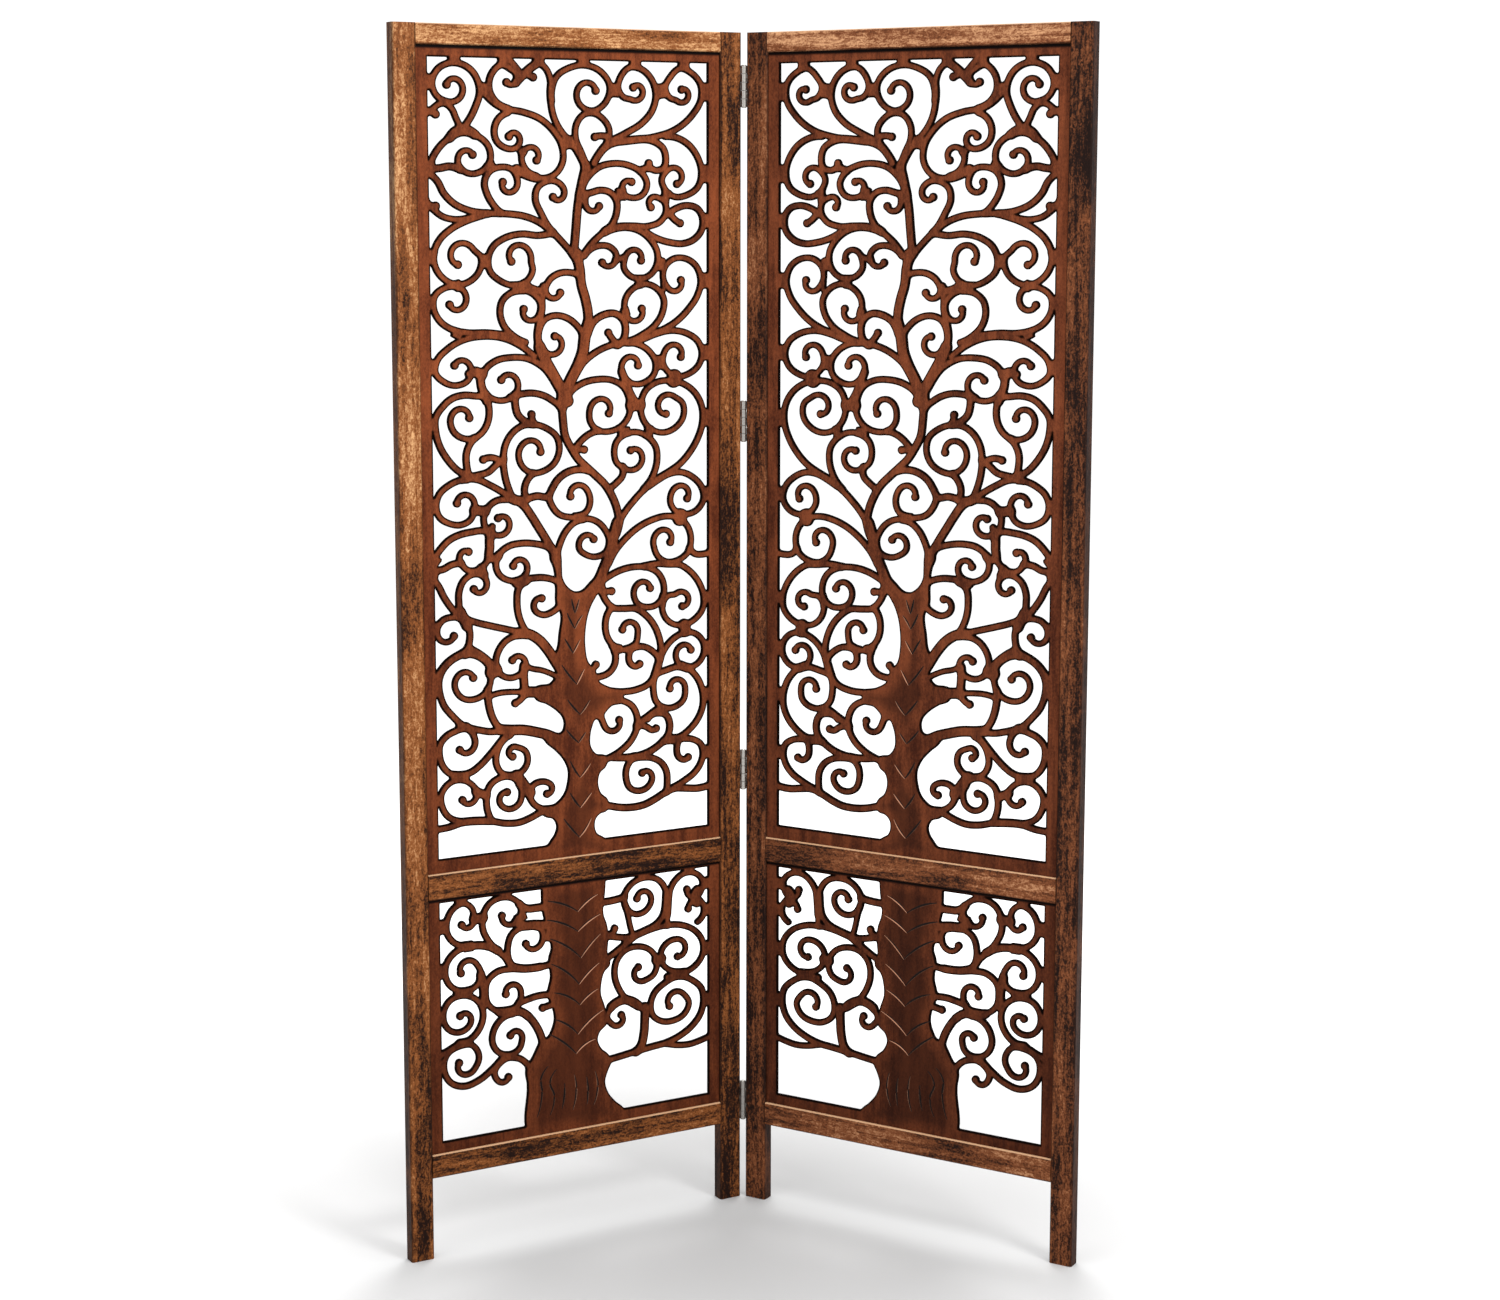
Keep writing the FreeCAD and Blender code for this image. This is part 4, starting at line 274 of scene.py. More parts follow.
upper_stem_shares = (
    (0.9, (11, 91.6), (9.6, 92.7), (8.2, 93.8), (6, 94.4), (3.8, 94.3), (1.5, 93.7), (-1, 93.2)),
    (1.4, (7.5, 90.3), (10, 91.2), (13, 91.3), (16, 90.7)), (1, (28, 99.9), (30.6, 98.9), (32.5, 98)),
    (1.3, (38.5, 99.6), (35.3, 98.8), (32.6, 97.9), (30.6, 97.1)),
    (0.9, (43, 95), (42.6, 96), (42.7, 97.4), (41.3, 98.8), (38.5, 99.6)),
    (1.1, (-1, 86.5), (4, 86.6), (7.3, 86.8), (10.8, 86.4)),
    (1.5, (30.5, 86.5), (33.5, 85.9), (37, 85.5)),
    (1, (-1, 86.2), (3, 85), (5, 83.6), (8.5, 82.3), (14, 81.4), (20, 81.1), (27, 81), (33, 80.7),
     (37.5, 80.1), (42, 79), (46.3, 77.5), (50, 75.9), (53, 73.9)),
    (0.9, (-1, 82.6), (2, 81.4), (4.7, 80.7), (9, 80.35), (13.5, 80.5), (18, 80.9)),
    (0.9, (56, 86.5), (53.6, 88.6), (51.6, 90.3), (51.7, 91.9), (54.5, 93.3), (58, 93.5), (61.5, 92.8),
     (63.7, 91.5), (63.4, 90.3), (61, 89), (58, 87.3)),
    (1, (58, 87.3), (63, 89.4), (70, 90.1), (77, 90.3), (81, 89.9), (83.5, 89.2), (84.5, 88),
     (83.8, 86.8), (81, 86.4), (78.3, 86.7), (75, 86.4)),
    (1, (54, 75.7), (57, 77.2), (61, 78.5), (64.5, 79.6), (66.2, 81), (66.2, 82.6), (64, 83.6),
     (60.5, 83.9), (57, 83.6), (53, 83.2)),
    (1.3, (50.6, 76), (51.4, 79), (52.2, 82), (53.6, 84.8), (55.2, 87)),
    (1, (77, 78.6), (81, 77.8), (86, 77.25), (91, 77.1), (95, 77.6), (97.9, 78.8), (98.4, 80.2),
     (96.5, 81.5), (92.5, 81.95), (88.5, 81.6), (85, 80.8)),
    (1.2, (33, 72.3), (36, 71.6), (39.5, 71.4)),
    (1, (39.5, 72), (39, 70.5), (38.9, 69), (37.9, 67.5), (37.2, 66), (37.8, 64.3)),
    (1.9, (48, 57.4), (45.5, 59), (42.4, 61), (39.7, 62.8), (38, 64.3)),
    (1.1, (12.8, 61.3), (15.6, 61.3), (17.3, 59.3), (18.8, 57.8)), (1.6, (15.5, 61.5), (17.6, 61.2)),
    (1.9, (46.5, 58), (49, 60), (51.8, 61.9), (53.6, 63.6), (54.3, 65.4), (55.6, 67)),
    (1.5, (55.6, 67), (55.6, 68.4), (54.7, 70.2), (53.3, 72), (52.7, 73.8), (52, 76)),
    (1.1, (55.5, 66), (58, 67.5), (61.5, 68.2), (65.5, 68.3), (68.6, 67.4), (69.3, 66), (68.3, 64.9),
     (66, 64.3)),
    (0.9, (68.5, 75.4), (65.8, 75.1)), (1.2, (67.8, 60.8), (69.3, 59.5), (71, 58), (73, 56.8)),
    (1, (19, 58.4), (15.5, 58.5), (11, 58.65), (7, 58.3), (3.6, 57.3), (1.2, 56), (1.1, 54.4),
     (2.5, 52.4), (5, 50.8), (8, 49.5), (12, 48.5)),
    (1, (12.5, 48.6), (11.7, 50), (11.7, 51.3), (12.8, 52.4), (14.5, 53.2)),
    (1, (11, 48.4), (16, 48.6), (19.3, 48.9), (22, 49.7), (24.7, 50.4)),
    (1, (32.8, 45.2), (32.1, 46.4), (33, 47.5), (35.2, 48.4)),
    (1, (27.5, 58.2), (31, 58.5), (36, 58.55), (40, 58.1), (43, 57.4), (46, 56.5)),
    (1.1, (29.3, 58.5), (29.2, 57), (30.1, 55.9), (32, 55.2), (35.5, 54.7)),
    (1.1, (33, 45.2), (36.5, 45.5), (40.5, 45.4), (42, 46.3), (44, 47.4), (47.5, 48.3), (51.5, 48.6),
     (55, 48.4)),
    (1.6, (14.3, 44.2), (18, 44)), (1, (59, 53.4), (55.5, 53), (52.6, 52.2), (50.5, 51.3)),
    (1.9, (71.2, 56.5), (74.6, 56.5)), (2.4, (87.6, 60), (87.2, 59.5)),
    (1, (68, 48.7), (67.8, 47.4), (66, 46.7), (63, 45.9)), (1.9, (46.2, 58), (45.9, 57)),
    (1.2, (45.9, 57.5), (46.2, 55), (47, 52.9), (49.2, 51.3), (51.7, 49.9), (54.5, 48.9), (58, 47.7),
     (61.5, 46.4), (64, 44.9), (65.8, 43.2), (66.5, 41.6), (65.5, 40)),
    (2.4, (89.7, 41.8), (89.4, 41.4)),
    (1.3, (28, 45.3), (31.5, 44.5), (34.5, 43), (37, 41.5), (39.5, 40), (42, 38.4)),
    (1, (20.5, 40.9), (17.3, 41.5), (13, 41.45), (9, 41.2), (5.2, 40.6), (2.3, 39.6), (-0.5, 38.2)),
    (1.3, (19.7, 41.5), (19.5, 39.5), (19.8, 38), (22.5, 38.2)),
    (1, (-1, 37), (3, 37), (6, 37.5), (9.3, 37.6)), (1.3, (16.5, 36.8), (17.4, 36)),
    (1, (-1, 36), (1, 35.1), (3.3, 33.4), (5.8, 32), (8, 31)),
    (1, (7.5, 31.6), (10.5, 30.6), (14, 30), (19, 29.4), (25, 28.75), (30, 28.2)),
    (1.6, (9, 31.4), (11, 29.6)), (1, (11.5, 26.6), (8, 26), (4, 25.1), (1, 23.9), (-1, 22.9)),
    (1, (11.5, 26.8), (15.5, 25.9), (19.8, 24.4)), (2.2, (19.6, 23.4), (21, 23.6)),
    (1.6, (29.5, 28.1), (33, 27.9), (36.5, 27.1), (40, 25.6), (43, 23.8), (46, 22)),
    (1, (31.5, 28.6), (29.6, 30.3), (29, 32.2), (29.6, 33.8), (32, 34.8), (36, 35.05), (40, 34.9),
     (44, 34.3)),
    (1.6, (29, 34.6), (32, 34.8)), (0.8, (31, 24), (34, 23.4), (38, 23), (41.5, 22.4), (45, 21.6)),
    (1.3, (31.1, 23.6), (31.2, 21.8), (31.5, 20.4)),
    (0.8, (18.5, 20.3), (22, 20.6), (27, 20.6), (31, 20.4)),
    (1.7, (31.3, 20.4), (35, 20.3), (40, 20), (46, 19.4)),
    (1.8, (52, 31.5), (56, 33), (59, 34.2), (60.7, 35.5), (62.4, 36.9), (63.8, 38.3), (64.3, 39.5),
     (65.8, 41.4)),
    (1, (93.2, 37.4), (95.5, 36.6), (98, 36.5), (101, 36.7)),
    (1, (59.6, 33.6), (61.6, 31.3), (64, 30.4), (68, 30.15), (72.5, 30), (76.2, 29.1), (79.2, 27.8),
     (81.2, 26.2), (82, 24.9), (81.8, 23.5), (80.8, 22.2), (79.6, 20.9), (77.3, 19.9), (73, 19.3),
     (67, 19.2), (60, 19.6), (54, 20.5)),
    (1, (63.8, 25.3), (64.9, 24.2), (64.6, 22.9), (62.5, 21.9), (59.5, 21.5), (56, 21.6)),
    (1, (69, 24.8), (72, 24.9), (75.4, 24.9), (78.5, 24.3), (81.5, 23)), (2, (91, 27.3), (91.4, 26.5)),
    (1.6, (44, 13.6), (40, 14.5), (36, 15), (31, 15.5), (26, 15.7), (22.5, 15.9)),
    (1, (23.5, 15.8), (19, 15.75), (15, 16.1), (11, 16.6), (8, 17)),
    (1, (10.5, 16.8), (7, 16.35), (3.5, 15.8), (1.1, 14.8), (0.8, 13.3), (2, 11.9), (4.5, 10.9),
     (8, 10.6), (12, 10.8), (15, 11.5), (18.5, 12.7), (21.5, 13.9), (24.5, 15.1)),
    (1.4, (13.5, 8.2), (16.9, 7.6)), (1.5, (6, 10.4), (9.5, 10.2)),
    (1, (-1, 3.9), (4, 4), (9, 4.4), (14, 4.4), (19, 4.1), (24, 3.6), (29, 3.5), (33, 3.9), (37, 4.5),
     (41, 4.7), (46, 4.4)),
    (1.8, (29.8, 8.6), (33, 7.2)), (1.4, (28, 9.8), (29.5, 9.2), (31, 8.2)),
    (1.1, (18.2, 21.2), (18.6, 19), (20, 17.3), (22.5, 15.9)),
    (1, (61, 18.2), (67.5, 18), (71, 17.2), (72.8, 15.9), (72.8, 14.2), (70.8, 12.7), (67.2, 11.5),
     (63, 10.7), (59, 10.3), (54, 10)),
    (1.1, (72.8, 14.4), (76.2, 15.4), (80.3, 15.9), (84, 15.5), (85.4, 14.2), (84.8, 12.9), (82, 11.8),
     (78.5, 11), (74, 10.5), (69.5, 10.4), (64, 10.6)),
    (0.9, (77, 15.2), (80.5, 16.4), (83.5, 16.4)),
    (1, (80, 21.1), (84, 21.5), (88.5, 21.8), (92.5, 21.4), (95.8, 20.2), (98, 18.3), (98.2, 16.3),
     (96.5, 14.7), (93.5, 13.4), (90, 12.5), (86.5, 12.1), (83, 12)),
    (1, (87, 12.3), (90.5, 12.1), (94.3, 11.85), (97.3, 11.1), (98.2, 9.8), (97.3, 8.5), (94.8, 7.3),
     (91, 6.4), (87, 5.7)),
    (1, (70, 10.2), (74.5, 10.2), (79, 9.9), (82.3, 9.1), (84.1, 7.9), (84.4, 6.6), (84, 5.2)),
    (1.1, (54, 4.8), (58, 4.6), (62, 4.25), (66, 3.85), (71, 3.65), (75.5, 3.8), (79.5, 4.35), (83, 5),
     (87, 5.5), (91.5, 5.35), (96, 5.15), (101, 5.4)),
)
upper_bud_shares = (
    ((-1, 93.4), (1.5, 93.3), (2.7, 93.1)), ((34, 98.2), (36.6, 97.8)), ((-1, 82), (2.3, 82)),
    ((62.8, 90.6), (60.5, 90.7), (58.5, 90.55)), ((78, 86.7), (78.2, 87.3)),
    ((86, 80.9), (88, 80.1), (89.8, 79.7)), ((66.5, 64.3), (64.6, 65), (63, 65.9)),
    ((23.5, 50.2), (20, 50.7), (17.6, 50.5)), ((35.2, 54.8), (34.9, 55.9)), ((51, 51.2), (53.8, 51.1)),
    ((60, 32.6), (63.6, 32.55)), ((56, 22.4), (57.6, 23.1)),
    ((71.5, 25), (70, 24), (70.4, 22.9), (72.5, 22.4), (74, 22.65)),
    ((31.5, 20.3), (29.8, 19.5), (28, 19.1)), ((73, 14.6), (76.5, 14.2), (78.8, 13.7), (80.2, 13.85)),
    ((89, 12), (88.1, 10.9), (88.8, 9.7), (90.8, 9.25), (92.5, 9.5)),
)
upper_trunk_shares = (
    (38, -1), (40.5, 0.5), (42.1, 1.3), (42.8, 2.5), (41.6, 3.4), (38, 4.1), (38, 4.9), (41.5, 5.15),
    (43.8, 5.7), (45.7, 6.5), (46.9, 7.8), (47.2, 9.6), (45.7, 11), (42.6, 12.4), (39, 13.7), (38, 14.8),
    (43, 14.45), (45, 14.7), (45.9, 15.6), (45.4, 16.6), (43.2, 17.6), (39.6, 18.6), (35.5, 19.5),
    (36, 20.8), (41, 21.2), (43.4, 22.6), (42, 24.4), (43.6, 25.7), (44.3, 27.5), (44.9, 30.3),
    (43.3, 31.6), (43.2, 33.4), (43, 35.1), (42.4, 36.3), (41.2, 37.5), (42, 38.5), (43.4, 38.5),
    (44.8, 37.5), (45, 36.2), (45.3, 34.7), (47.2, 33.5), (50.2, 32.8), (53.7, 33), (57.2, 34),
    (59.8, 34), (60.2, 32.4), (58.9, 32.5), (56.7, 31.6), (54.7, 30), (53.5, 27.8), (53.4, 25.5),
    (54.4, 23.6), (57, 22.3), (58.4, 20.9), (62.5, 19.9), (67.5, 18.9), (67, 18), (63, 17.5),
    (60.5, 16.6), (59, 15.9), (57.3, 16), (55.7, 15), (55, 13.8), (55.3, 12.3), (57.3, 11.3), (61, 10.8),
    (61, 9.7), (58.5, 8.8), (57.8, 7.6), (58.8, 6.1), (61.5, 5), (61, 3.7), (58.5, 3.4), (56.9, 2.8),
    (56.4, 2), (57.2, 0.8), (60, 0), (61, -1),
)
lower_curl_shares = (
    (-165, (20, 77), (15.5, 80), (9.5, 80.6), (5.3, 82.5), (2.6, 87), (2.6, 92.5), (5.2, 97.3),
     (8.5, 98.6), (11.5, 96), (12.2, 91.8), (7.8, 89.7)),
    (-165, (23.5, 73.5), (20.5, 76.8), (17.3, 81.5), (15.3, 87), (15.5, 92.5), (17.8, 97), (22, 98.9),
     (26.5, 97.6), (29.2, 93.5), (28.6, 89.5), (22.3, 91.2)),
    (-155, (25.5, 69.5), (24.4, 73), (24.3, 78), (25.8, 82.8), (29.5, 85.2), (33.8, 85), (36.8, 82.5),
     (37, 78.5), (30.9, 77.9)),
    (190, (36, 67.3), (30, 67.4), (25, 68.3), (20.5, 68), (17.2, 65.3), (15.8, 60.5), (16.6, 55.5),
     (20, 51.5), (24.5, 50.8), (28.2, 53.5), (28.9, 58), (23.4, 57.9)),
    (165, (31.5, 47), (28.8, 49.2), (25.5, 49.3), (21.5, 47.5), (18.9, 43.5), (18.3, 38.5), (20.3, 34),
     (24.2, 32), (28, 33.7), (29.2, 37.8), (24.9, 40.1)),
    (175, (21, 77), (16, 79.5), (10, 80.4), (5, 78.5), (2.2, 74.5), (1.8, 69), (4.3, 64), (9, 62),
     (13, 63.8), (14.4, 68.3), (12.8, 72.7), (7.3, 69.6)),
    (175, (-1, 36.5), (4, 38.5), (9, 40.3), (13, 44), (15, 49.5), (14.3, 55), (11, 59), (7, 60.3),
     (3, 58.7), (0.9, 54.5), (1.2, 49.5), (3.6, 45.9), (7, 45), (10.2, 47.3), (6.8, 51.7)),
    (-180, (23.5, 31.5), (18.5, 27.3), (13.5, 23.4), (8, 21.8), (3.6, 23.8), (1, 28.8), (1, 34.3),
     (3.8, 38.6), (8.3, 40), (12, 37.5), (13.4, 32.8), (11.8, 28.5), (6.2, 32)),
    (125, (22.5, 31), (19.8, 28.2), (18.9, 25), (20, 21.9), (24, 22.4)),
    (190, (71, 74.5), (76, 76.2), (80.8, 79), (83.7, 85), (83.8, 91.5), (81, 97), (75.5, 99),
     (70.3, 96.8), (67.7, 92), (68.6, 87), (72.2, 83.7), (76, 84.7), (78, 88.3), (72.6, 90.4)),
    (-180, (68, 72.5), (72.5, 74.8), (78, 76.3), (84, 77), (90, 76), (95, 72.8), (98, 67.5), (98, 62),
     (95.2, 57.5), (90.5, 55.3), (85.8, 56.8), (82.2, 60.7), (81.8, 65.7), (84.5, 69.5), (88.3, 70.2),
     (88.2, 62.6)),
    (-180, (75.5, 42), (72, 44), (68, 48), (65.3, 53), (63.9, 59), (64.8, 65), (68.3, 69), (73, 69.6),
     (77.6, 67.2), (80.1, 62), (79, 56.6), (75.5, 54.4), (73, 60.6)),
    (190, (66, 47.2), (62.8, 45.2), (60.9, 41), (62.7, 37.8), (66.4, 41)),
    (180, (91, 54), (88, 54), (83, 51.8), (79.2, 48.3), (77.7, 43.5), (78.4, 38.8), (81.7, 35.5),
     (86.3, 34.8), (90.8, 37), (92.6, 41.5), (90.5, 45.8), (85, 41.4)),
    (-175, (84, 77), (84.3, 84), (84.8, 90), (86.8, 95.2), (90.5, 98.4), (94.5, 98.2), (97.8, 94.5),
     (97.6, 90.5), (91.9, 91.3)),
    (100, (96, 76.5), (98.3, 79.5), (98.3, 83.5), (95.8, 86.2), (92.4, 82.8)),
)
lower_stem_shares = (
    (1.6, (12.2, 91.5), (15.5, 91.5)), (1.2, (28.8, 95), (31.5, 92.8), (34.5, 92.5), (39, 92.7)),
    (1.5, (27.5, 88), (30, 86), (34, 85.5), (39, 84.5)),
    (1, (23.5, 74.5), (25, 70.5), (29, 68.1), (34, 67.2), (41, 68)),
    (1, (28, 53.3), (31.5, 54.3), (35, 55), (40, 54.6)),
    (1.2, (23, 50.6), (28, 50), (31.5, 47), (34.5, 42), (36.5, 36), (37, 30)),
    (1, (22, 30.8), (25, 30.7), (28.5, 29.3), (31.3, 26), (33, 22)),
    (1.4, (14.4, 67.5), (15.3, 62), (15.2, 55)), (1.3, (6, 61.3), (10, 61.3)),
    (1.3, (6.5, 40.3), (9.5, 40)), (1.4, (21, 50.8), (25.5, 49.8)),
    (1.1, (58, 91), (63, 91), (67.8, 91.8)), (0.8, (68, 88.5), (69.2, 83), (69.9, 79), (71, 74.5)),
    (1, (59, 76.6), (63.5, 75.4), (67, 74.5), (71, 74)),
    (1, (58, 65.5), (62.3, 67.3), (66.3, 70.2), (70, 73)), (1.6, (79.9, 62.5), (82, 62.8)),
    (1.4, (62.5, 45.3), (66, 47.3), (70, 46.6), (73, 44)),
    (1.4, (75.5, 43), (75.4, 37), (75, 31), (74, 26.5), (72, 23.8)),
    (1, (84, 54.5), (89, 54), (94.2, 51), (97.6, 46.8), (98.3, 41.5), (97.2, 36), (94, 31.3),
     (89.3, 27.8), (84, 25.7), (78, 24.9), (71, 23.9), (64, 22.8), (57, 22)),
    (0.9, (84, 25), (88.5, 23.6), (93, 23.2), (97, 24), (101, 25.3)),
    (1.9, (96, 90), (94.8, 87.6), (95.8, 85.3)), (1.6, (83.8, 82), (84.2, 90)),
)
lower_bud_shares = (
    ((43, 51.2), (39.5, 50.2), (36.8, 49.6)),
    ((60, 77.5), (63, 77), (64, 78.9)),
)
lower_trunk_shares = (
    (31, -3), (31.1, 18), (30.6, 24), (33, 29), (37.2, 36), (38.6, 36.5), (40.4, 39.8), (41.3, 44),
    (40.8, 48.5), (38.9, 55), (40, 62), (39.5, 70.7), (40.4, 74.5), (39.8, 77.4), (38, 78.3), (38.4, 84),
    (37.3, 90.5), (37, 95), (37.5, 103), (59.9, 103), (60.1, 95), (59.5, 90.5), (59.5, 85.8), (60.8, 81),
    (61.2, 74.4), (60.9, 69), (61.8, 63.6), (59.9, 61.4), (58.5, 56.2), (58.3, 52), (59.8, 45.8),
    (60.4, 38.3), (57.8, 35.4), (57, 32.3), (58.3, 28.1), (61.2, 24.5), (62, 21.5), (60.8, 18),
    (59.7, 13.6), (60.8, 8.4), (63.7, 3.7), (66.8, 0), (67.5, -3),
)
upper_bridge_shares = (
    (1.9, (9.2, 99.3), (9.2, 101)), (1.7, (26, 99.2), (26.5, 101)), (1.8, (38.5, 99.6), (38.8, 101)),
    (2, (54.5, 99.4), (54.5, 101)), (1.9, (73.3, 99.2), (73.3, 101)), (1.9, (91.3, 99.2), (91.3, 101)),
    (2.4, (-1, 97), (1.6, 97)), (2, (18.2, 96.3), (20.8, 96.1)), (2.2, (64.3, 96.4), (67, 96.4)),
    (2.4, (81, 96.3), (84.3, 96.5)), (3, (97.9, 96.4), (101, 96.4)), (2, (57.3, 93.7), (57.3, 93.4)),
    (2.4, (-2, 86.6), (1.6, 86.4)), (2, (46.8, 89.7), (50.5, 89.9)), (1.2, (31.8, 89), (33, 88.2)),
    (1.6, (21, 87.2), (21.5, 86.5)), (3, (97.9, 86), (101, 86)), (2, (66, 83.4), (69.5, 83.4)),
    (1.4, (84, 82.4), (84.7, 83.8)), (1.6, (54.5, 83.8), (54, 82.5)), (2.2, (-1, 76), (1.5, 75.6)),
    (2.2, (17.6, 75.2), (20.3, 75.2)), (2.4, (98, 80), (101, 80)), (1.6, (8.5, 72.1), (10.5, 72.4)),
    (2, (-1, 70.3), (1.2, 70.2)), (1.8, (28.5, 71.8), (32.5, 71.8)), (2, (73.3, 72.3), (75.5, 72.3)),
    (2.2, (81, 74.6), (83.8, 74.4)), (1.6, (82.8, 71.6), (84, 71.6)), (2.6, (97.5, 72.3), (101, 72.3)),
    (1.4, (68.9, 68.9), (69.6, 68)), (2.6, (98, 63), (101, 63)), (2.4, (80.4, 61.9), (83.2, 61.9)),
    (2.4, (-1, 62.4), (1.3, 62.2)), (1.4, (7.5, 66.5), (10.5, 66)), (1.3, (68.7, 59.4), (69.5, 60)),
    (1.8, (-1, 55.2), (1, 55.2)), (3, (98.1, 54.5), (101, 54.5)), (2.4, (-1, 45), (1, 45)),
    (2.4, (98.6, 44.5), (101, 44.5)), (1.4, (66.5, 53.2), (70.5, 53.2)), (1.6, (76.5, 53), (79, 53)),
    (1.6, (50, 42.4), (53.5, 42.4)), (2, (10, 48.5), (12, 48.5)), (2.2, (-1, 38.3), (1.2, 37.6)),
    (2.2, (-1, 36.4), (1, 36.2)), (2, (98.4, 30.8), (101, 30.8)), (2, (82.2, 30.8), (83.4, 30.8)),
    (2.6, (98.6, 24), (101, 24)), (1.4, (89.5, 22), (92.5, 21.5)), (2, (-1, 29.6), (0.8, 29.6)),
    (2.4, (-1, 21.8), (1.1, 21.8)), (2.4, (98.1, 17.8), (101, 17.8)), (1.8, (-1, 13.8), (1, 13.8)),
    (1.8, (-1, 7.6), (1.3, 7.6)), (2.2, (98.1, 10), (101, 10)), (1.4, (85, 12.3), (87.5, 12)),
    (1.4, (64, 25), (67, 24.9)),
)
lower_bridge_shares = (
    (1.9, (7.5, 98.5), (7.5, 103)), (1.9, (23.5, 98.7), (23.5, 103)), (2, (75, 98.8), (75, 103)),
    (1.9, (92.5, 98.4), (92.5, 103)), (2.4, (-1, 90), (2.5, 90)), (2.4, (-1, 71.5), (1.9, 71.5)),
    (2, (-1, 52.5), (1, 52.5)), (2, (-1, 32), (1, 32)), (2.4, (98, 64.5), (101, 64.5)),
    (2.4, (98.2, 42), (101, 42)), (2, (98.2, 81.5), (101, 81.5)), (2, (97.9, 93), (101, 93)),
    (1.6, (8.5, 80.4), (11.5, 80.4)), (2, (28.7, 91), (29.6, 88)), (1.6, (86.5, 55.2), (91, 54.8)),
)
# Lines carved into the trunk: how lit the cut is from 0 to 1, then points.
upper_carving_shares = (
    (0, (48.6, 32), (49.1, 31), (49.8, 30.1)), (0.3, (49.8, 30.1), (50.6, 30.9), (51.4, 31.9)),
    (0, (46.9, 30.2), (48.3, 29), (49.7, 28.1)), (0.4, (49.7, 28.1), (51, 29), (52.6, 29.8)),
    (0, (45.9, 26.9), (47.5, 25.9), (49, 24.9)), (0.6, (49, 24.9), (50.2, 25.7), (51.6, 26.6)),
    (0, (44.8, 23.5), (47.4, 22.1), (50.3, 20.8)), (0.8, (50.3, 20.8), (51.4, 21.6), (53.1, 22.7)),
    (0, (46.8, 18.9), (49, 17.8), (51.4, 16.8)), (0.4, (51.4, 16.8), (53.2, 17.6), (55.1, 18.6)),
    (0, (46.3, 15), (48.4, 14), (50.8, 13.1)), (0.3, (50.8, 13.1), (52, 13.7), (53.4, 14.4)),
    (0, (47.6, 10.8), (49.2, 9.6), (51.3, 8.5)), (0.7, (51.3, 8.5), (53.2, 9.3), (55.1, 10.2)),
    (0, (47.5, 6.6), (49.2, 5.5), (51.3, 4.5)), (1, (51.3, 4.5), (53.3, 5.4), (55.4, 6.3)),
    (0, (45, 3.3), (47.8, 1.9), (50.8, 0.6)), (1, (50.8, 0.6), (52.9, 1.5), (55.2, 2.9)),
)
lower_carving_shares = (
    (0, (38.9, 94.7), (44.6, 92.6), (50, 88.6)), (0.9, (50, 88.6), (53, 92), (57.4, 94.8)),
    (0, (38.4, 86.8), (44.6, 84.3), (50, 80.1)), (0.9, (50, 80.1), (53.4, 83.4), (58.4, 86.2)),
    (0, (39.6, 78.6), (45.6, 74.6), (51, 68.6)), (0.6, (51, 68.6), (53.9, 73), (58.4, 77.7)),
    (0, (40, 67.8), (45.3, 63.8), (50.3, 57.4)), (0.8, (50.3, 57.4), (53.4, 61.5), (57.9, 65.4)),
    (0, (40.9, 55.4), (45.7, 53.2), (50.5, 48.5)), (0.7, (50.5, 48.5), (53.4, 51.8), (57.4, 54.3)),
    (0, (41.1, 43.9), (45.3, 41.2), (49.7, 36)), (1, (49.7, 36), (53.6, 40.7), (59.4, 44.8)),
    (0, (39, 38), (44.4, 33.4), (49, 27.7)), (1, (49, 27.7), (52, 31), (56.2, 32.7)),
    (0, (38.6, 24.5), (35.8, 19.8), (36.1, 13.6), (34.2, 3.2)),
    (0, (41.5, 22.4), (39.1, 17.2), (40.6, 11.5), (39, 3.2)), (0, (44.5, 15.8), (44.4, 10.5), (43.5, 5)),
    (0.2, (48.2, 18.8), (48.9, 11.5), (47.5, 3.7)), (0.1, (52.8, 17), (53.3, 11), (52.9, 5)),
    (0.2, (56, 18.8), (57, 11.5), (55.4, 4.2)),
)

upper_shares = (
    upper_curl_shares, upper_stem_shares, upper_bridge_shares, upper_bud_shares, upper_trunk_shares,
    upper_carving_shares)
lower_shares = (
    lower_curl_shares, lower_stem_shares, lower_bridge_shares, lower_bud_shares, lower_trunk_shares,
    lower_carving_shares)

SIDES = ("left", "right")
turn_right = Matrix.Translation(pin_axis) @ Matrix.Rotation(-half_fold, 4, "Z")
PANEL_TO_WORLD = {"right": turn_right, "left": Matrix.Scale(-1, 4, (1, 0, 0)) @ turn_right}


def rgb(red, green, blue):
    """A colour as read off a screen, 0 to 255, for a shader."""
    def linear(value):
        value /= 255
        return value / 12.92 if value <= 0.04045 else ((value + 0.055) / 1.055) ** 2.4
    return (linear(red), linear(green), linear(blue), 1)


burnt_brown = rgb(24, 11, 7)
# Colour of the painted highlight along a rail's top edge
painted_highlight_brown = rgb(222, 176, 136)
# Colour the board darkens to at its foot
foot_dark_brown = rgb(22, 8, 5)
# Colour of the painted shadow on a board below a rail
rail_shadow_brown = rgb(10, 4, 3)
rim_brown = rgb(8, 3, 2)
cut_shade = rgb(12, 5, 4)
cut_light = rgb(178, 126, 98)
steel_shade = rgb(110, 106, 100)
steel_light = rgb(190, 187, 182)
# Grey of the painted shadow on the floor near the screen
floor_shade_grey = (0.5, 0.5, 0.5, 1)
floor_far = (0.97, 0.97, 0.97, 1)
white = (1, 1, 1, 1)


# Materials

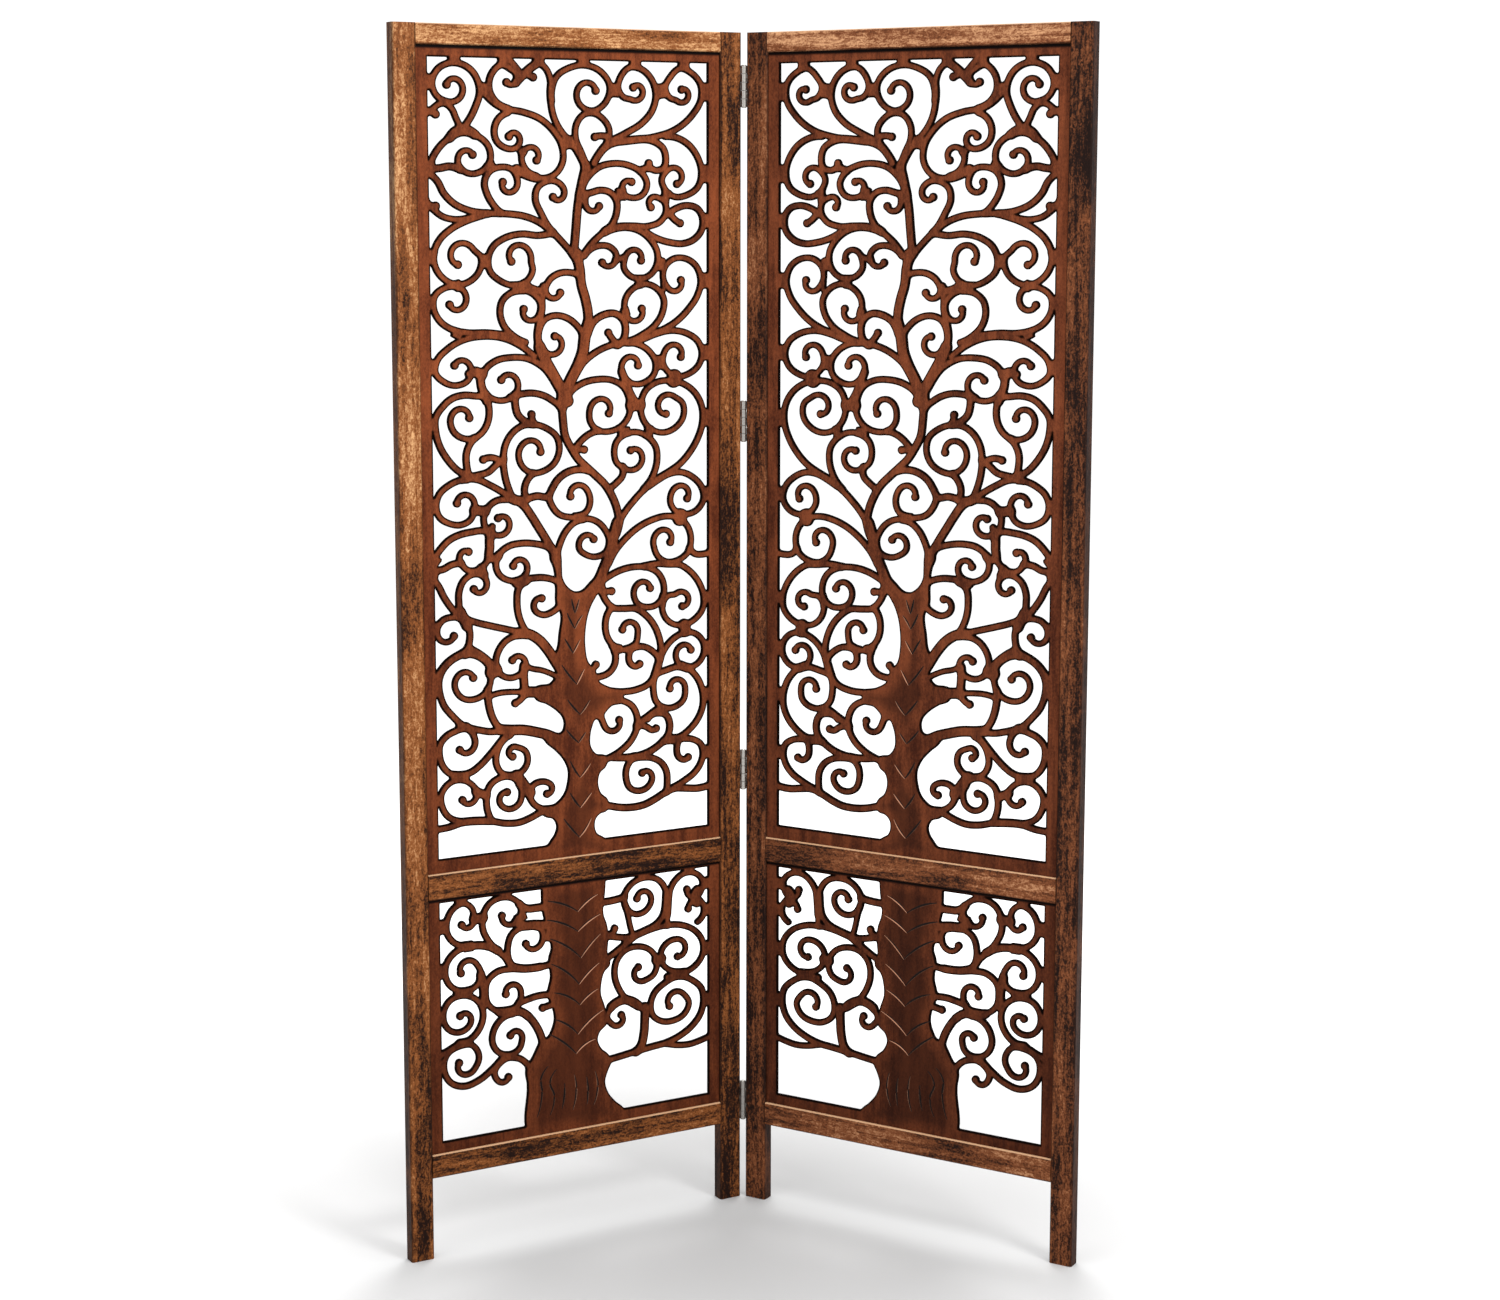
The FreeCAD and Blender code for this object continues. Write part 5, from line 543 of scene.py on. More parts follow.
class Finish:
    """A material and short calls that build its nodes."""

    def __init__(self, name):
        self.material = bpy.data.materials.new(name)
        self.material.use_nodes = True
        self.tree = self.material.node_tree
        self.shader = self.tree.nodes["Principled BSDF"]

    def put(self, socket, value):
        if isinstance(value, bpy.types.NodeSocket):
            self.tree.links.new(value, socket)
        else:
            socket.default_value = value

    def node(self, kind, **inputs):
        made = self.tree.nodes.new(kind)
        for name, value in inputs.items():
            self.put(made.inputs[name.replace("_", " ")], value)
        return made

    def shade(self, **inputs):
        for name, value in inputs.items():
            self.put(self.shader.inputs[name.replace("_", " ")], value)

    def maths(self, operation, *values):
        made = self.tree.nodes.new("ShaderNodeMath")
        made.operation = operation
        for socket, value in zip(made.inputs, values):
            self.put(socket, value)
        return made.outputs[0]

    def total(self, *parts):
        """The sum of values, each with its weight."""
        sum_so_far = 0.0
        for value, weight in parts:
            sum_so_far = self.maths("MULTIPLY_ADD", value, weight, sum_so_far)
        return sum_so_far

    def ramp(self, value, low, high):
        """0 at low and 1 at high, easing in and out."""
        made = self.node("ShaderNodeMapRange", Value=value, From_Min=low, From_Max=high)
        made.interpolation_type = "SMOOTHSTEP"
        return made.outputs["Result"]

    def about_zero(self, noise):
        """A noise value, shifted to lie around zero."""
        return self.maths("SUBTRACT", noise, 0.5)

    def ragged(self, distance, noise, wander, low, high):
        """0 at low and 1 at high along a distance, in millimetres, shifted about by a noise."""
        shifted = self.total((distance, 1.0), (self.about_zero(noise), wander * MM))
        return self.ramp(shifted, low=low * MM, high=high * MM)

    def blend(self, factor, first, second):
        made = self.tree.nodes.new("ShaderNodeMix")
        made.data_type = "RGBA"
        for socket, value in ((made.inputs[0], factor), (made.inputs[6], first), (made.inputs[7], second)):
            self.put(socket, value)
        return made.outputs[2]

    def panel_place(self, side):
        """The place in the flat panel, in metres, for a point of the screen at rest."""
        made = self.node("ShaderNodeMapping", Vector=self.node("ShaderNodeTexCoord").outputs["Object"])
        made.inputs["Location"].default_value = Matrix.Rotation(half_fold, 3, "Z") @ -pin_axis
        made.inputs["Rotation"].default_value = (0, 0, half_fold)
        made.inputs["Scale"].default_value = (-1 if side == "left" else 1, 1, 1)
        return made.outputs["Vector"]

    def axes(self, place):
        return self.node("ShaderNodeSeparateXYZ", Vector=place).outputs

    def noise(self, place, scale, stretch=(1, 1, 1), detail=3, distortion=0.0, offset=0.0):
        moved = self.node("ShaderNodeMapping", Vector=place)
        moved.inputs["Scale"].default_value = stretch
        moved.inputs["Location"].default_value = (offset, offset, offset)
        made = self.node(
            "ShaderNodeTexNoise", Vector=moved.outputs["Vector"], Scale=scale, Detail=detail,
            Roughness=0.6, Distortion=distortion)
        return made.outputs["Fac"]

    def bump(self, height, strength, distance):
        made = self.node("ShaderNodeBump", Height=height, Strength=strength, Distance=distance)
        self.shade(Normal=made.outputs["Normal"])

    def attribute(self, name):
        made = self.tree.nodes.new("ShaderNodeAttribute")
        made.attribute_name = name
        return made.outputs["Fac"]


def frame_wood(side, member, along, colours, low_tone, high_tone, edges):
    """Waxed hardwood of a frame member with its grain along x or z, darker in streaks and at its edges, with
    a painted highlight along a rail's top edge.

    colours are light, middle and dark. The tones are the added lightness at the member's ends.
    edges are its two long edges across the grain, in millimetres.
    """
    light, middle, dark = colours
    finish = Finish(f"frame_wood_{side}_{member}")
    offset = len(member) * 0.37 + (0.9 if side == "left" else 0.2)
    place = finish.panel_place(side)
    x, y, z = finish.axes(place)
    long_grain = (0.06, 1, 1) if along == "x" else (1, 1, 0.06)
    short_grain = (0.35, 1, 1) if along == "x" else (1, 1, 0.35)
    streaks = finish.noise(place, scale=85, stretch=long_grain, detail=4, distortion=0.5, offset=offset)
    figure = finish.noise(place, scale=210, stretch=short_grain, detail=4, distortion=1.4, offset=offset)
    flecks = finish.noise(place, scale=520, stretch=(0.8, 1, 0.8), detail=3, distortion=0.3, offset=offset)
    clouds = finish.noise(place, scale=7, offset=offset)
    way = x if along == "x" else z
    start, end = (opening_inner, opening_outer) if along == "x" else (0, panel_height)
    height_tone = finish.node(
        "ShaderNodeMapRange", Value=way, From_Min=start * MM, From_Max=end * MM,
        To_Min=low_tone, To_Max=high_tone).outputs["Result"]
    tone = finish.total(
        (finish.ramp(streaks, low=0.36, high=0.64), 0.34),
        (finish.ramp(figure, low=0.36, high=0.64), 0.34),
        (finish.ramp(flecks, low=0.32, high=0.68), 0.26),
        (finish.ramp(clouds, low=0.35, high=0.65), 0.2),
        (height_tone, 1.0))
    colour = finish.blend(finish.ramp(tone, low=0.3, high=1.0), dark, middle)
    colour = finish.blend(finish.ramp(tone, low=0.85, high=1.5), colour, light)
    cross = z if along == "x" else x
    inside = finish.maths(
        "MINIMUM", finish.maths("SUBTRACT", cross, edges[0] * MM),
        finish.maths("SUBTRACT", edges[1] * MM, cross))
    kept = finish.ragged(inside, clouds, worn_edge_wander, low=0, high=worn_edge_width)
    colour = finish.blend(kept, finish.blend(0.75, colour, burnt_brown), colour)
    # A painted highlight along a rail's top edge: a pale line where light catches the edge
    if along == "x":
        painted_highlight = finish.ragged(
            cross, flecks, highlight_line_wander, low=edges[1] - highlight_line_width,
            high=edges[1] - highlight_line_fade)
        colour = finish.blend(finish.maths("MULTIPLY", painted_highlight, 0.75), colour, painted_highlight_brown)
    finish.shade(
        Base_Color=colour, Roughness=finish.total((figure, -0.25), (0.66, 1.0)),
        Specular_IOR_Level=0.07)
    finish.bump(finish.total((figure, 0.6), (flecks, 0.4)), strength=0.3, distance=0.7 * MM)
    return finish.material


def board_wood(side, light, dark, deep):
    """Stained board with burnt rims, darker at its foot and in its broad parts, with a painted shadow below
    a rail.

    The mesh carries how far inside its outline each point lies.
    """
    finish = Finish(f"board_wood_{side}")
    place = finish.panel_place(side)
    inside = finish.attribute("inside")
    streaks = finish.noise(place, scale=70, stretch=(1, 1, 0.12), detail=4, distortion=0.4, offset=0.3)
    flecks = finish.noise(place, scale=380, stretch=(1, 1, 0.6), distortion=0.5, offset=0.6)
    clouds = finish.noise(place, scale=9, detail=2, offset=0.1)
    tone = finish.total((streaks, 0.5), (flecks, 0.35), (clouds, 0.3))
    colour = finish.blend(finish.ramp(tone, low=0.38, high=0.78), dark, light)
    core = finish.ragged(inside, clouds, dark_core_wander, low=dark_core_start, high=dark_core_full)
    colour = finish.blend(finish.maths("MULTIPLY", core, 0.6), colour, deep)
    z = finish.axes(place)["Z"]
    # Darker towards the board's foot
    height = finish.ramp(z, low=foot_darkening_low * MM, high=foot_darkening_high * MM)
    colour = finish.blend(finish.total((height, 0.45), (0.55, 1.0)), foot_dark_brown, colour)
    # A painted shadow on the board just below each rail, where the rail shades it
    rail_underside_distances = [
        finish.maths("ABSOLUTE", finish.maths("SUBTRACT", z, rail_underside * MM))
        for rail_underside in (top_rail_bottom, mid_rail_bottom)]
    clear_of_rail_shadow = finish.ramp(finish.maths("MINIMUM", *rail_underside_distances), low=rail_shadow_fade * MM, high=rail_shadow_width * MM)
    colour = finish.blend(clear_of_rail_shadow, rail_shadow_brown, colour)
    rim = finish.ragged(inside, flecks, burnt_rim_wander, low=burnt_rim_fade, high=burnt_rim_width)
    colour = finish.blend(rim, rim_brown, colour)
    finish.shade(
        Base_Color=colour, Roughness=finish.total((flecks, 0.25), (rim, -0.5), (0.9, 1.0)),
        Specular_IOR_Level=0.03)
    finish.bump(tone, strength=0.25, distance=0.4 * MM)
    return finish.material


def cut_wood():
    """The carved lines: dark along their shaded side, light along the lit one."""
    finish = Finish("board_wood_carved_lines")
    lit = finish.attribute("lit")
    flecks = finish.noise(finish.node("ShaderNodeTexCoord").outputs["Object"], scale=400)
    tone = finish.total((lit, 1.0), (finish.about_zero(flecks), 0.4))
    finish.shade(
        Base_Color=finish.blend(finish.ramp(tone, low=0.1, high=0.9), cut_shade, cut_light),
        Roughness=0.6, Specular_IOR_Level=0.1)
    return finish.material


def brushed_steel():
    finish = Finish("steel_brushed")
    place = finish.node("ShaderNodeTexCoord").outputs["Object"]
    scratches = finish.noise(place, scale=300, stretch=(1, 1, 12))
    finish.shade(
        Base_Color=finish.blend(scratches, steel_shade, steel_light), Metallic=1.0,
        Roughness=finish.total((scratches, 0.2), (0.2, 1.0)))
    return finish.material


# Jali boards

def smooth(points, end_heading=None):
    """Close short steps along a curve through the points."""
    gaps = [abs(b - a) for a, b in zip(points, points[1:])]
    chords = [(b - a) / gap for a, b, gap in zip(points, points[1:], gaps)]
    headings = [a * after + b * before for a, b, before, after in zip(chords, chords[1:], gaps, gaps[1:])]
    headings = [heading / abs(heading) for heading in headings]
    first = chords[0]
    last = chords[-1]
    if headings:
        first = chords[0] * 2 - headings[0]
        last = chords[-1] * 2 - headings[-1]
    if end_heading:
        last = end_heading
    headings = [first / abs(first)] + headings + [last / abs(last)]
    curve = [points[0]]
    for i, gap in enumerate(gaps):
        leave = headings[i] * gap
        arrive = headings[i + 1] * gap
        for step in range(1, curve_steps + 1):
            t = step / curve_steps
            ease = 3 * t ** 2 - 2 * t ** 3
            curve.append(
                points[i] * (1 - ease) + points[i + 1] * ease
                + leave * (t ** 3 - 2 * t ** 2 + t) + arrive * (t ** 3 - t ** 2))
    return curve


def curl(turn, points):
    """A vine that ends in a spiral, turning by turn degrees from the last but one point."""
    root = points[-2]
    shrink = curl_shrink_share ** (abs(turn) / 360)
    whole = cmath.rect(shrink, math.radians(turn))
    pole = (points[-1] - whole * root) / (1 - whole)
    rate = complex(math.log(shrink), math.radians(turn))
    curve = smooth(points[:-1], (root - pole) * rate)
    spiral_steps = 5 * curve_steps
    for step in range(1, spiral_steps + 1):
        curve.append(pole + (root - pole) * cmath.exp(rate * step / spiral_steps))
    return curve


def closed_smooth(points):
    """A smooth curve that comes back to its start."""
    lapped = smooth(points[-2:] + points + points[:3])
    return lapped[2 * curve_steps:-2 * curve_steps]


class Board:
    """One board's drawing as distances on a grid, in millimetres: below zero in the wood."""

    def __init__(self, shares, z_low, z_high, top_margin, bottom_margin):
        curls, stems, bridges, buds, trunk, carving = shares
        self.field_outer = opening_outer - field_side_margin
        self.field_inner = opening_inner + field_side_margin
        self.field_low = z_low + bottom_margin
        self.field_high = z_high - top_margin
        before = board_lap + grid_cell
        after = board_lap + 2 * grid_cell
        self.xs = np.arange(opening_inner - before, opening_outer + after, grid_cell)
        self.zs = np.arange(z_low - before, z_high + after, grid_cell)
        x, z = np.meshgrid(self.xs, self.zs)
        self.places = x + 1j * z
        self.distance = np.minimum(
            np.minimum(x - self.field_inner, self.field_outer - x),
            np.minimum(z - self.field_low, self.field_high - z))
        for turn, *pairs in curls:
            self.add_strand(curl(-turn, self.at(pairs)), 1, vine_tip_share, True)
        for share, *pairs in stems:
            self.add_strand(smooth(self.at(pairs)), share, share, False)
        for share, *pairs in bridges:
            self.add_bridge(*self.at(pairs), share)
        for pairs in buds:
            self.add_strand(smooth(self.at(pairs)), 1, 1, True)
        self.add_trunk(closed_smooth(self.at(trunk)))
        outside = np.maximum(
            np.maximum(opening_inner - board_lap - x, x - opening_outer - board_lap),
            np.maximum(z_low - board_lap - z, z - z_high - board_lap))
        self.distance = np.maximum(self.distance, outside)
        self.carving = [(lit, smooth(self.at(pairs))) for lit, *pairs in carving]

    def at(self, pairs):
        width = self.field_inner - self.field_outer
        height = self.field_high - self.field_low
        corner = complex(self.field_outer, self.field_low)
        return [corner + complex(width * u / 100, height * v / 100) for u, v in pairs]

    def window(self, curve, reach):
        """The part of the grid that lies within reach of a curve."""
        points = np.array(curve)
        rows = np.searchsorted(self.zs, (points.imag.min() - reach, points.imag.max() + reach))
        columns = np.searchsorted(self.xs, (points.real.min() - reach, points.real.max() + reach))
        return np.s_[rows[0]:rows[1], columns[0]:columns[1]]

    def join(self, part, near):
        """Adds a shape, with a fillet where it meets the wood that is there."""
        there = self.distance[part]
        blend = np.maximum(fillet - np.abs(there - near), 0) / fillet
        self.distance[part] = np.minimum(there, near) - blend ** 2 * fillet / 4

    def along(self, part, curve):
        """How far each place lies from each step of a curve, and how far along the curve that is."""
        places = self.places[part][..., None]
        points = np.array(curve)
        starts, steps = points[:-1], np.diff(points)
        share = np.clip(((places - starts) * steps.conj()).real / np.abs(steps) ** 2, 0, 1)
        away = np.abs(places - starts - share * steps)
        return away, (np.arange(len(steps)) + share) / len(steps)

    def add_strand(self, curve, first_share, last_share, has_ball):
        """A vine whose width goes from the first to the last share of vine_width."""
        part = self.window(curve, vine_width * max(first_share, 1) + burnt_edge + fillet)
        away, progress = self.along(part, curve)
        half = vine_width / 2 * (first_share + (last_share - first_share) * progress) + burnt_edge
        near = (away - half).min(axis=-1)
        if has_ball:
            near = np.minimum(near, np.abs(self.places[part] - curve[-1]) - ball_radius - burnt_edge)
        self.join(part, near)

    def add_bridge(self, start, end, share):
        """A flat-ended piece between two places."""
        length = abs(end - start)
        half = vine_width * share / 2 + burnt_edge
        part = self.window([start, end], half + length + fillet)
        away = (self.places[part] - (start + end) / 2) / (end - start) * length
        self.join(part, np.maximum(np.abs(away.real) - length / 2 - burnt_edge, np.abs(away.imag) - half))

    def add_trunk(self, outline):
        """The wood inside a closed outline."""
        part = self.window(outline, fillet + grid_cell)
        near = self.along(part, outline)[0].min(axis=-1)
        places = self.places[part][..., None]
        points = np.array(outline)
        starts, steps = points[:-1], np.diff(points)
        crosses = (starts.imag > places.imag) != (points[1:].imag > places.imag)
        height = np.where(steps.imag == 0, 1, steps.imag)
        at_height = starts.real + steps.real * (places.imag - starts.imag) / height
        inside = (crosses & (places.real < at_height)).sum(axis=-1) % 2 == 1
        self.join(part, np.where(inside, -near, near) - burnt_edge)


def board_mesh(board):
    """Points, faces and inside distances of a board whose openings have rounded front rims."""
    values = board.distance + rim_width
    slope_z, slope_x = np.gradient(board.distance, grid_cell)
    points = []
    insides = []
    outward = {}
    corner_index = {}
    crossing_index = {}

    def corner(row, column):
        key = (row, column)
        if key not in corner_index:
            corner_index[key] = len(points)
            points.append((board.xs[column], board.zs[row]))
            insides.append(-board.distance[row, column])
        return corner_index[key]

    def crossing(first, second):
        key = (min(first, second), max(first, second))
        if key not in crossing_index:
            (row, column), (other_row, other_column) = key
            start, end = values[row, column], values[other_row, other_column]
            share = start / (start - end)
            step_row = row + (other_row - row) * share
            step_column = column + (other_column - column) * share
            crossing_index[key] = len(points)
            across = slope_x[row, column] * (1 - share) + slope_x[other_row, other_column] * share
            up = slope_z[row, column] * (1 - share) + slope_z[other_row, other_column] * share
            size = math.hypot(across, up)
            outward[len(points)] = (across / size, up / size)
            points.append((board.xs[0] + step_column * grid_cell, board.zs[0] + step_row * grid_cell))
            insides.append(rim_width)
        return crossing_index[key]

    faces = []
    edges = []
    inside = values < 0
    rows, columns = np.nonzero(inside[:-1, :-1] | inside[1:, :-1] | inside[:-1, 1:] | inside[1:, 1:])
    for row, column in zip(rows.tolist(), columns.tolist()):
        corners = [(row, column), (row, column + 1), (row + 1, column + 1), (row + 1, column)]
        face = []
        leaving = []
        entering = []
        for here, after in zip(corners, corners[1:] + corners[:1]):
            if inside[here]:
                face.append(corner(*here))
            if inside[here] != inside[after]:
                found = crossing(here, after)
                face.append(found)
                (leaving if inside[here] else entering).append((len(face) - 1, found))
        for at, found in leaving:
            following = [other for position, other in entering if position == (at + 1) % len(face)]
            edges.append((found, following[0]))
        faces.append(face)

    flat = len(points)
    coordinates = [(x, board_front, z) for x, z in points]
    coordinates += [(x, board_back, z) for x, z in points]
    insides = insides + insides
    back_faces = [[index + flat for index in face][::-1] for face in faces]
    ring_of = {}
    for index, (across, up) in outward.items():
        x, z = points[index]
        ring = [index]
        for out, sink in rim_profile[1:]:
            ring.append(len(coordinates))
            coordinates.append((x + across * out, board_front + sink, z + up * out))
            insides.append(rim_width - out)
        ring.append(len(coordinates))
        coordinates.append((x + across * rim_width, board_back - back_rim, z + up * rim_width))
        insides.append(0)
        ring.append(index + flat)
        out = rim_width - back_rim
        coordinates[index + flat] = (x + across * out, board_back, z + up * out)
        ring_of[index] = ring
    walls = []
    for first, second in edges:
        for a, b, c, d in zip(ring_of[first], ring_of[second], ring_of[second][1:], ring_of[first][1:]):
            walls.append([b, a, d, c])
    return coordinates, faces + back_faces + walls, insides


def carving_mesh(board):
    """Thin strips along the carved lines: tapering, with a shaded and a lit half."""
    coordinates = []
    faces = []
    lits = []
    for lit, curve in board.carving:
        count = len(curve) - 1
        for i, place in enumerate(curve):
            heading = curve[min(i + 1, count)] - curve[max(i - 1, 0)]
            side = heading / abs(heading) * 1j
            if side.imag < 0:
                side = -side
            progress = min(max(i / count, carving_end_share), 1 - carving_end_share)
            taper = carving_tip_share + (1 - carving_tip_share) * math.sin(math.pi * progress)
            first = len(coordinates)
            before = first - len(carving_profile)
            for share, raised, unlit_tone, lit_tone in carving_profile:
                spot = place + side * share * carving_width * taper
                coordinates.append((spot.real, board_front - raised, spot.imag))
                lits.append(unlit_tone + lit * (lit_tone - unlit_tone))
            if i:
                for k in range(len(carving_profile) - 1):
                    faces.append([first + k, first + k + 1, before + k + 1, before + k])
    return coordinates, faces, lits


def add_object(name, data):
    made = bpy.data.objects.new(name, data)
    bpy.context.scene.collection.objects.link(made)
    return made


def add_piece(name, coordinates, faces, side, material, body, attribute=None):
    """A mesh from flat-panel millimetres, put in place on one side. An attribute is a name and values."""
    mesh = bpy.data.meshes.new(name)
    matrix = PANEL_TO_WORLD[side] @ Matrix.Scale(MM, 4)
    if side == "left":
        faces = [face[::-1] for face in faces]
    mesh.from_pydata([matrix @ Vector(place) for place in coordinates], [], faces)
    mesh.materials.append(material)
    if attribute:
        layer = mesh.attributes.new(attribute[0], "FLOAT", "POINT")
        layer.data.foreach_set("value", attribute[1])
    mesh.polygons.foreach_set("use_smooth", [True] * len(faces))
    mesh.set_sharp_from_angle(angle=math.radians(sharp_angle))
    mesh.update()
    made = add_object(name, mesh)
    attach(made, body)
    return made


upper_board = Board(
    upper_shares, mid_rail_top, top_rail_bottom, upper_field_top_margin, upper_field_bottom_margin)
lower_board = Board(
    lower_shares, bottom_rail_top, mid_rail_bottom, lower_field_top_margin, lower_field_bottom_margin)
board_meshes = {"upper": board_mesh(upper_board), "lower": board_mesh(lower_board)}
carving_meshes = {"upper": carving_mesh(upper_board), "lower": carving_mesh(lower_board)}
# The right panel's board is coloured darker than the left's: painted shade, the same wood less lit
board_materials = {
    "left": board_wood("left", rgb(132, 68, 38), rgb(66, 29, 16), rgb(56, 26, 15)),
    "right": board_wood("right", rgb(122, 64, 38), rgb(56, 25, 15), rgb(34, 16, 11))}
carved = cut_wood()
for side in SIDES:
    for level in ("upper", "lower"):
        coordinates, faces, insides = board_meshes[level]
        board = add_piece(
            f"{side}_{level}_jali_pierced", coordinates, faces, side, board_materials[side],
            f"{side}_panel", ("inside", [value * MM for value in insides]))
        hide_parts(f"{side}_{level}_jali")
        coordinates, faces, lits = carving_meshes[level]
        add_piece(
            f"{side}_{level}_carved_lines", coordinates, faces, side, carved,
            f"{side}_panel", ("lit", lits))


# Frame

stile_edges = {"outer_stile": (opening_outer, outer_edge), "hinge_stile": (inner_edge, opening_inner)}
rail_edges = {
    "top_rail": (top_rail_bottom, panel_height),
    "mid_rail": (mid_rail_bottom, mid_rail_top),
    "bottom_rail": (leg_height, bottom_rail_top)}
# Light, middle and dark; the right panel's are darker, painted shade: the same wood less lit than the left's
frame_colours = {
    "left": (rgb(208, 160, 112), rgb(128, 74, 36), rgb(26, 11, 6)),
    "right": (rgb(196, 146, 106), rgb(116, 66, 38), rgb(24, 11, 7))}
# Added lightness at a member's start and end: from the floor up, or from the hinges outward
frame_tones = {
    "left": {
        "outer_stile": (0.0, 0.4), "hinge_stile": (-0.06, 0.12), "top_rail": (0.36, 0.48),
        "mid_rail": (-0.1, 0.1), "bottom_rail": (-0.02, 0.04)},
    "right": {
        "outer_stile": (0.08, -0.12), "hinge_stile": (-0.02, 0.1), "top_rail": (0.42, 0.48),
        "mid_rail": (0.12, 0.26), "bottom_rail": (0.12, 0.24)}}
for side in SIDES:
    for member, edges in {**stile_edges, **rail_edges}.items():
        along = "x" if member in rail_edges else "z"
        low_tone, high_tone = frame_tones[side][member]
        wood = frame_wood(side, member, along, frame_colours[side], low_tone, high_tone, edges)
        node = frame["nodes"][f"{side}_{member}"]
        node.data.materials.clear()
        node.data.materials.append(wood)
        node.data.polygons.foreach_set("use_smooth", [False] * len(node.data.polygons))


# Hinges

def lathe(profile, centre, sides, axis):
    """A body turned about an axis through the centre, from its radii and their places along it."""
    coordinates = []
    faces = []
    for radius, place in profile:
        for k in range(sides):
            angle = 2 * math.pi * k / sides
            a, b = radius * math.cos(angle), radius * math.sin(angle)
            offset = (a, b, place) if axis == "z" else (place, a, b)
            coordinates.append(tuple(c + o for c, o in zip(centre, offset)))
    for ring in range(len(profile) - 1):
        for k in range(sides):
            low, after = ring * sides + k, ring * sides + (k + 1) % sides
            faces.append([low, after, after + sides, low + sides])
    faces.append(list(range(sides))[::-1])
    faces.append([(len(profile) - 1) * sides + k for k in range(sides)])
    return coordinates, faces


def eased_block(low, high, bevel):
    """A plate from low to high whose edges are cut off by the bevel all round."""
    coordinates = []
    centre = [(a + b) / 2 for a, b in zip(low, high)]
    index = {}
    for sx in (0, 1):
        for sy in (0, 1):
            for sz in (0, 1):
                corner = [(low, high)[s][i] for i, s in enumerate((sx, sy, sz))]
                for flush in range(3):
                    spot = [
                        c if i == flush else c + (bevel if c < centre[i] else -bevel)
                        for i, c in enumerate(corner)]
                    index[sx, sy, sz, flush] = len(coordinates)
                    coordinates.append(tuple(spot))
    faces = []
    ring = ((0, 0), (1, 0), (1, 1), (0, 1))
    for flush in range(3):
        others = [i for i in range(3) if i != flush]
        for s in (0, 1):
            face = []
            for pair in ring:
                key = [0, 0, 0]
                key[flush] = s
                key[others[0]], key[others[1]] = pair
                face.append(index[(*key, flush)])
            faces.append(face)
        for pair in ring:
            face = []
            for s, k in ((0, 0), (1, 0), (1, 1), (0, 1)):
                key = [0, 0, 0]
                key[flush] = s
                key[others[0]], key[others[1]] = pair
                face.append(index[(*key, others[k])])
            faces.append(face)
    for sx, sy, sz in ((a, b, c) for a in (0, 1) for b in (0, 1) for c in (0, 1)):
        faces.append([index[sx, sy, sz, flush] for flush in range(3)])
    middle = Vector(centre)
    turned = []
    for face in faces:
        spots = [Vector(coordinates[i]) for i in face]
        normal = (spots[1] - spots[0]).cross(spots[2] - spots[0])
        face_centre = sum(spots, Vector()) / len(spots)
        turned.append(face if normal.dot(face_centre - middle) > 0 else face[::-1])
    return coordinates, turned


def gather(parts):
    """Several bodies as one mesh."""
    coordinates = []
    faces = []
    for part_coordinates, part_faces in parts:
        first = len(coordinates)
        coordinates += part_coordinates
        faces += [[first + index for index in face] for face in part_faces]
    return coordinates, faces


leaf_face = barrel_radius - leaf_thickness
leaf_front = math.sqrt((barrel_radius + barrel_clearance) ** 2 - leaf_face ** 2)
leaf_back = front + leaf_depth
hinge_half = hinge_length / 2
knuckle_length = (hinge_length - knuckle_gap * (knuckle_count - 1)) / knuckle_count


def leaf_mesh(height, rows):
    """A leaf with its screw heads and the knuckles of the given rows, counted from the top."""
    parts = [eased_block(
        (leaf_face, leaf_front, height - hinge_half), (barrel_radius, leaf_back, height + hinge_half),
        edge_ease)]
    for row in rows:
        top = height + hinge_half - row * (knuckle_length + knuckle_gap)
        bottom = top - knuckle_length
        profile = [
            (pin_radius, bottom), (barrel_radius - edge_ease, bottom), (barrel_radius, bottom + edge_ease),
            (barrel_radius, top - edge_ease), (barrel_radius - edge_ease, top), (pin_radius, top)]
        parts.append(lathe(profile, (0, 0, 0), round_sides, "z"))
        parts.append(eased_block(
            (leaf_face, leaf_face / 2, bottom), (barrel_radius, leaf_front + edge_ease, top), edge_ease / 2))
    pitch = hinge_length / screws_per_leaf
    for place in range(screws_per_leaf):
        centre = (leaf_face, (leaf_front + leaf_back) / 2, height - hinge_half + pitch * (place + 0.5))
        profile = [(screw_head_radius * share, depth) for share, depth in screw_head_profile]
        coordinates, faces = lathe(profile, centre, screw_head_sides, "x")
        parts.append((coordinates, [face[::-1] for face in faces]))
    return gather(parts)


def pin_mesh(height):
    """A pin with a rounded head at each end."""
    top = height + hinge_half
    bottom = height - hinge_half
    head = [
        (pin_head_radius * wide, pin_head_thickness * high) for wide, high in pin_head_profile_shares]
    lower_head = [(radius, bottom - high) for radius, high in head]
    upper_head = [(radius, top + high) for radius, high in reversed(head)]
    shaft = [(pin_radius, bottom), (pin_radius, top)]
    return lathe(lower_head + shaft + upper_head, (0, 0, 0), round_sides, "z")


steel = brushed_steel()
for number, height in enumerate(hinge_heights, 1):
    for first_row, side in enumerate(SIDES):
        rows = range(first_row, knuckle_count, 2)
        name = f"hinge_{number}_{side}_leaf"
        coordinates, faces = leaf_mesh(height, rows)
        leaf = add_piece(f"{name}_rounded", coordinates, faces, side, steel, f"{side}_panel")
        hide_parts(name)
    coordinates, faces = pin_mesh(height)
    pin = add_piece(f"hinge_{number}_pin_rounded", coordinates, faces, "left", steel, "left_panel")
    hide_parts(f"hinge_{number}_pin")


# Floor, light and camera, in metres, watts and degrees

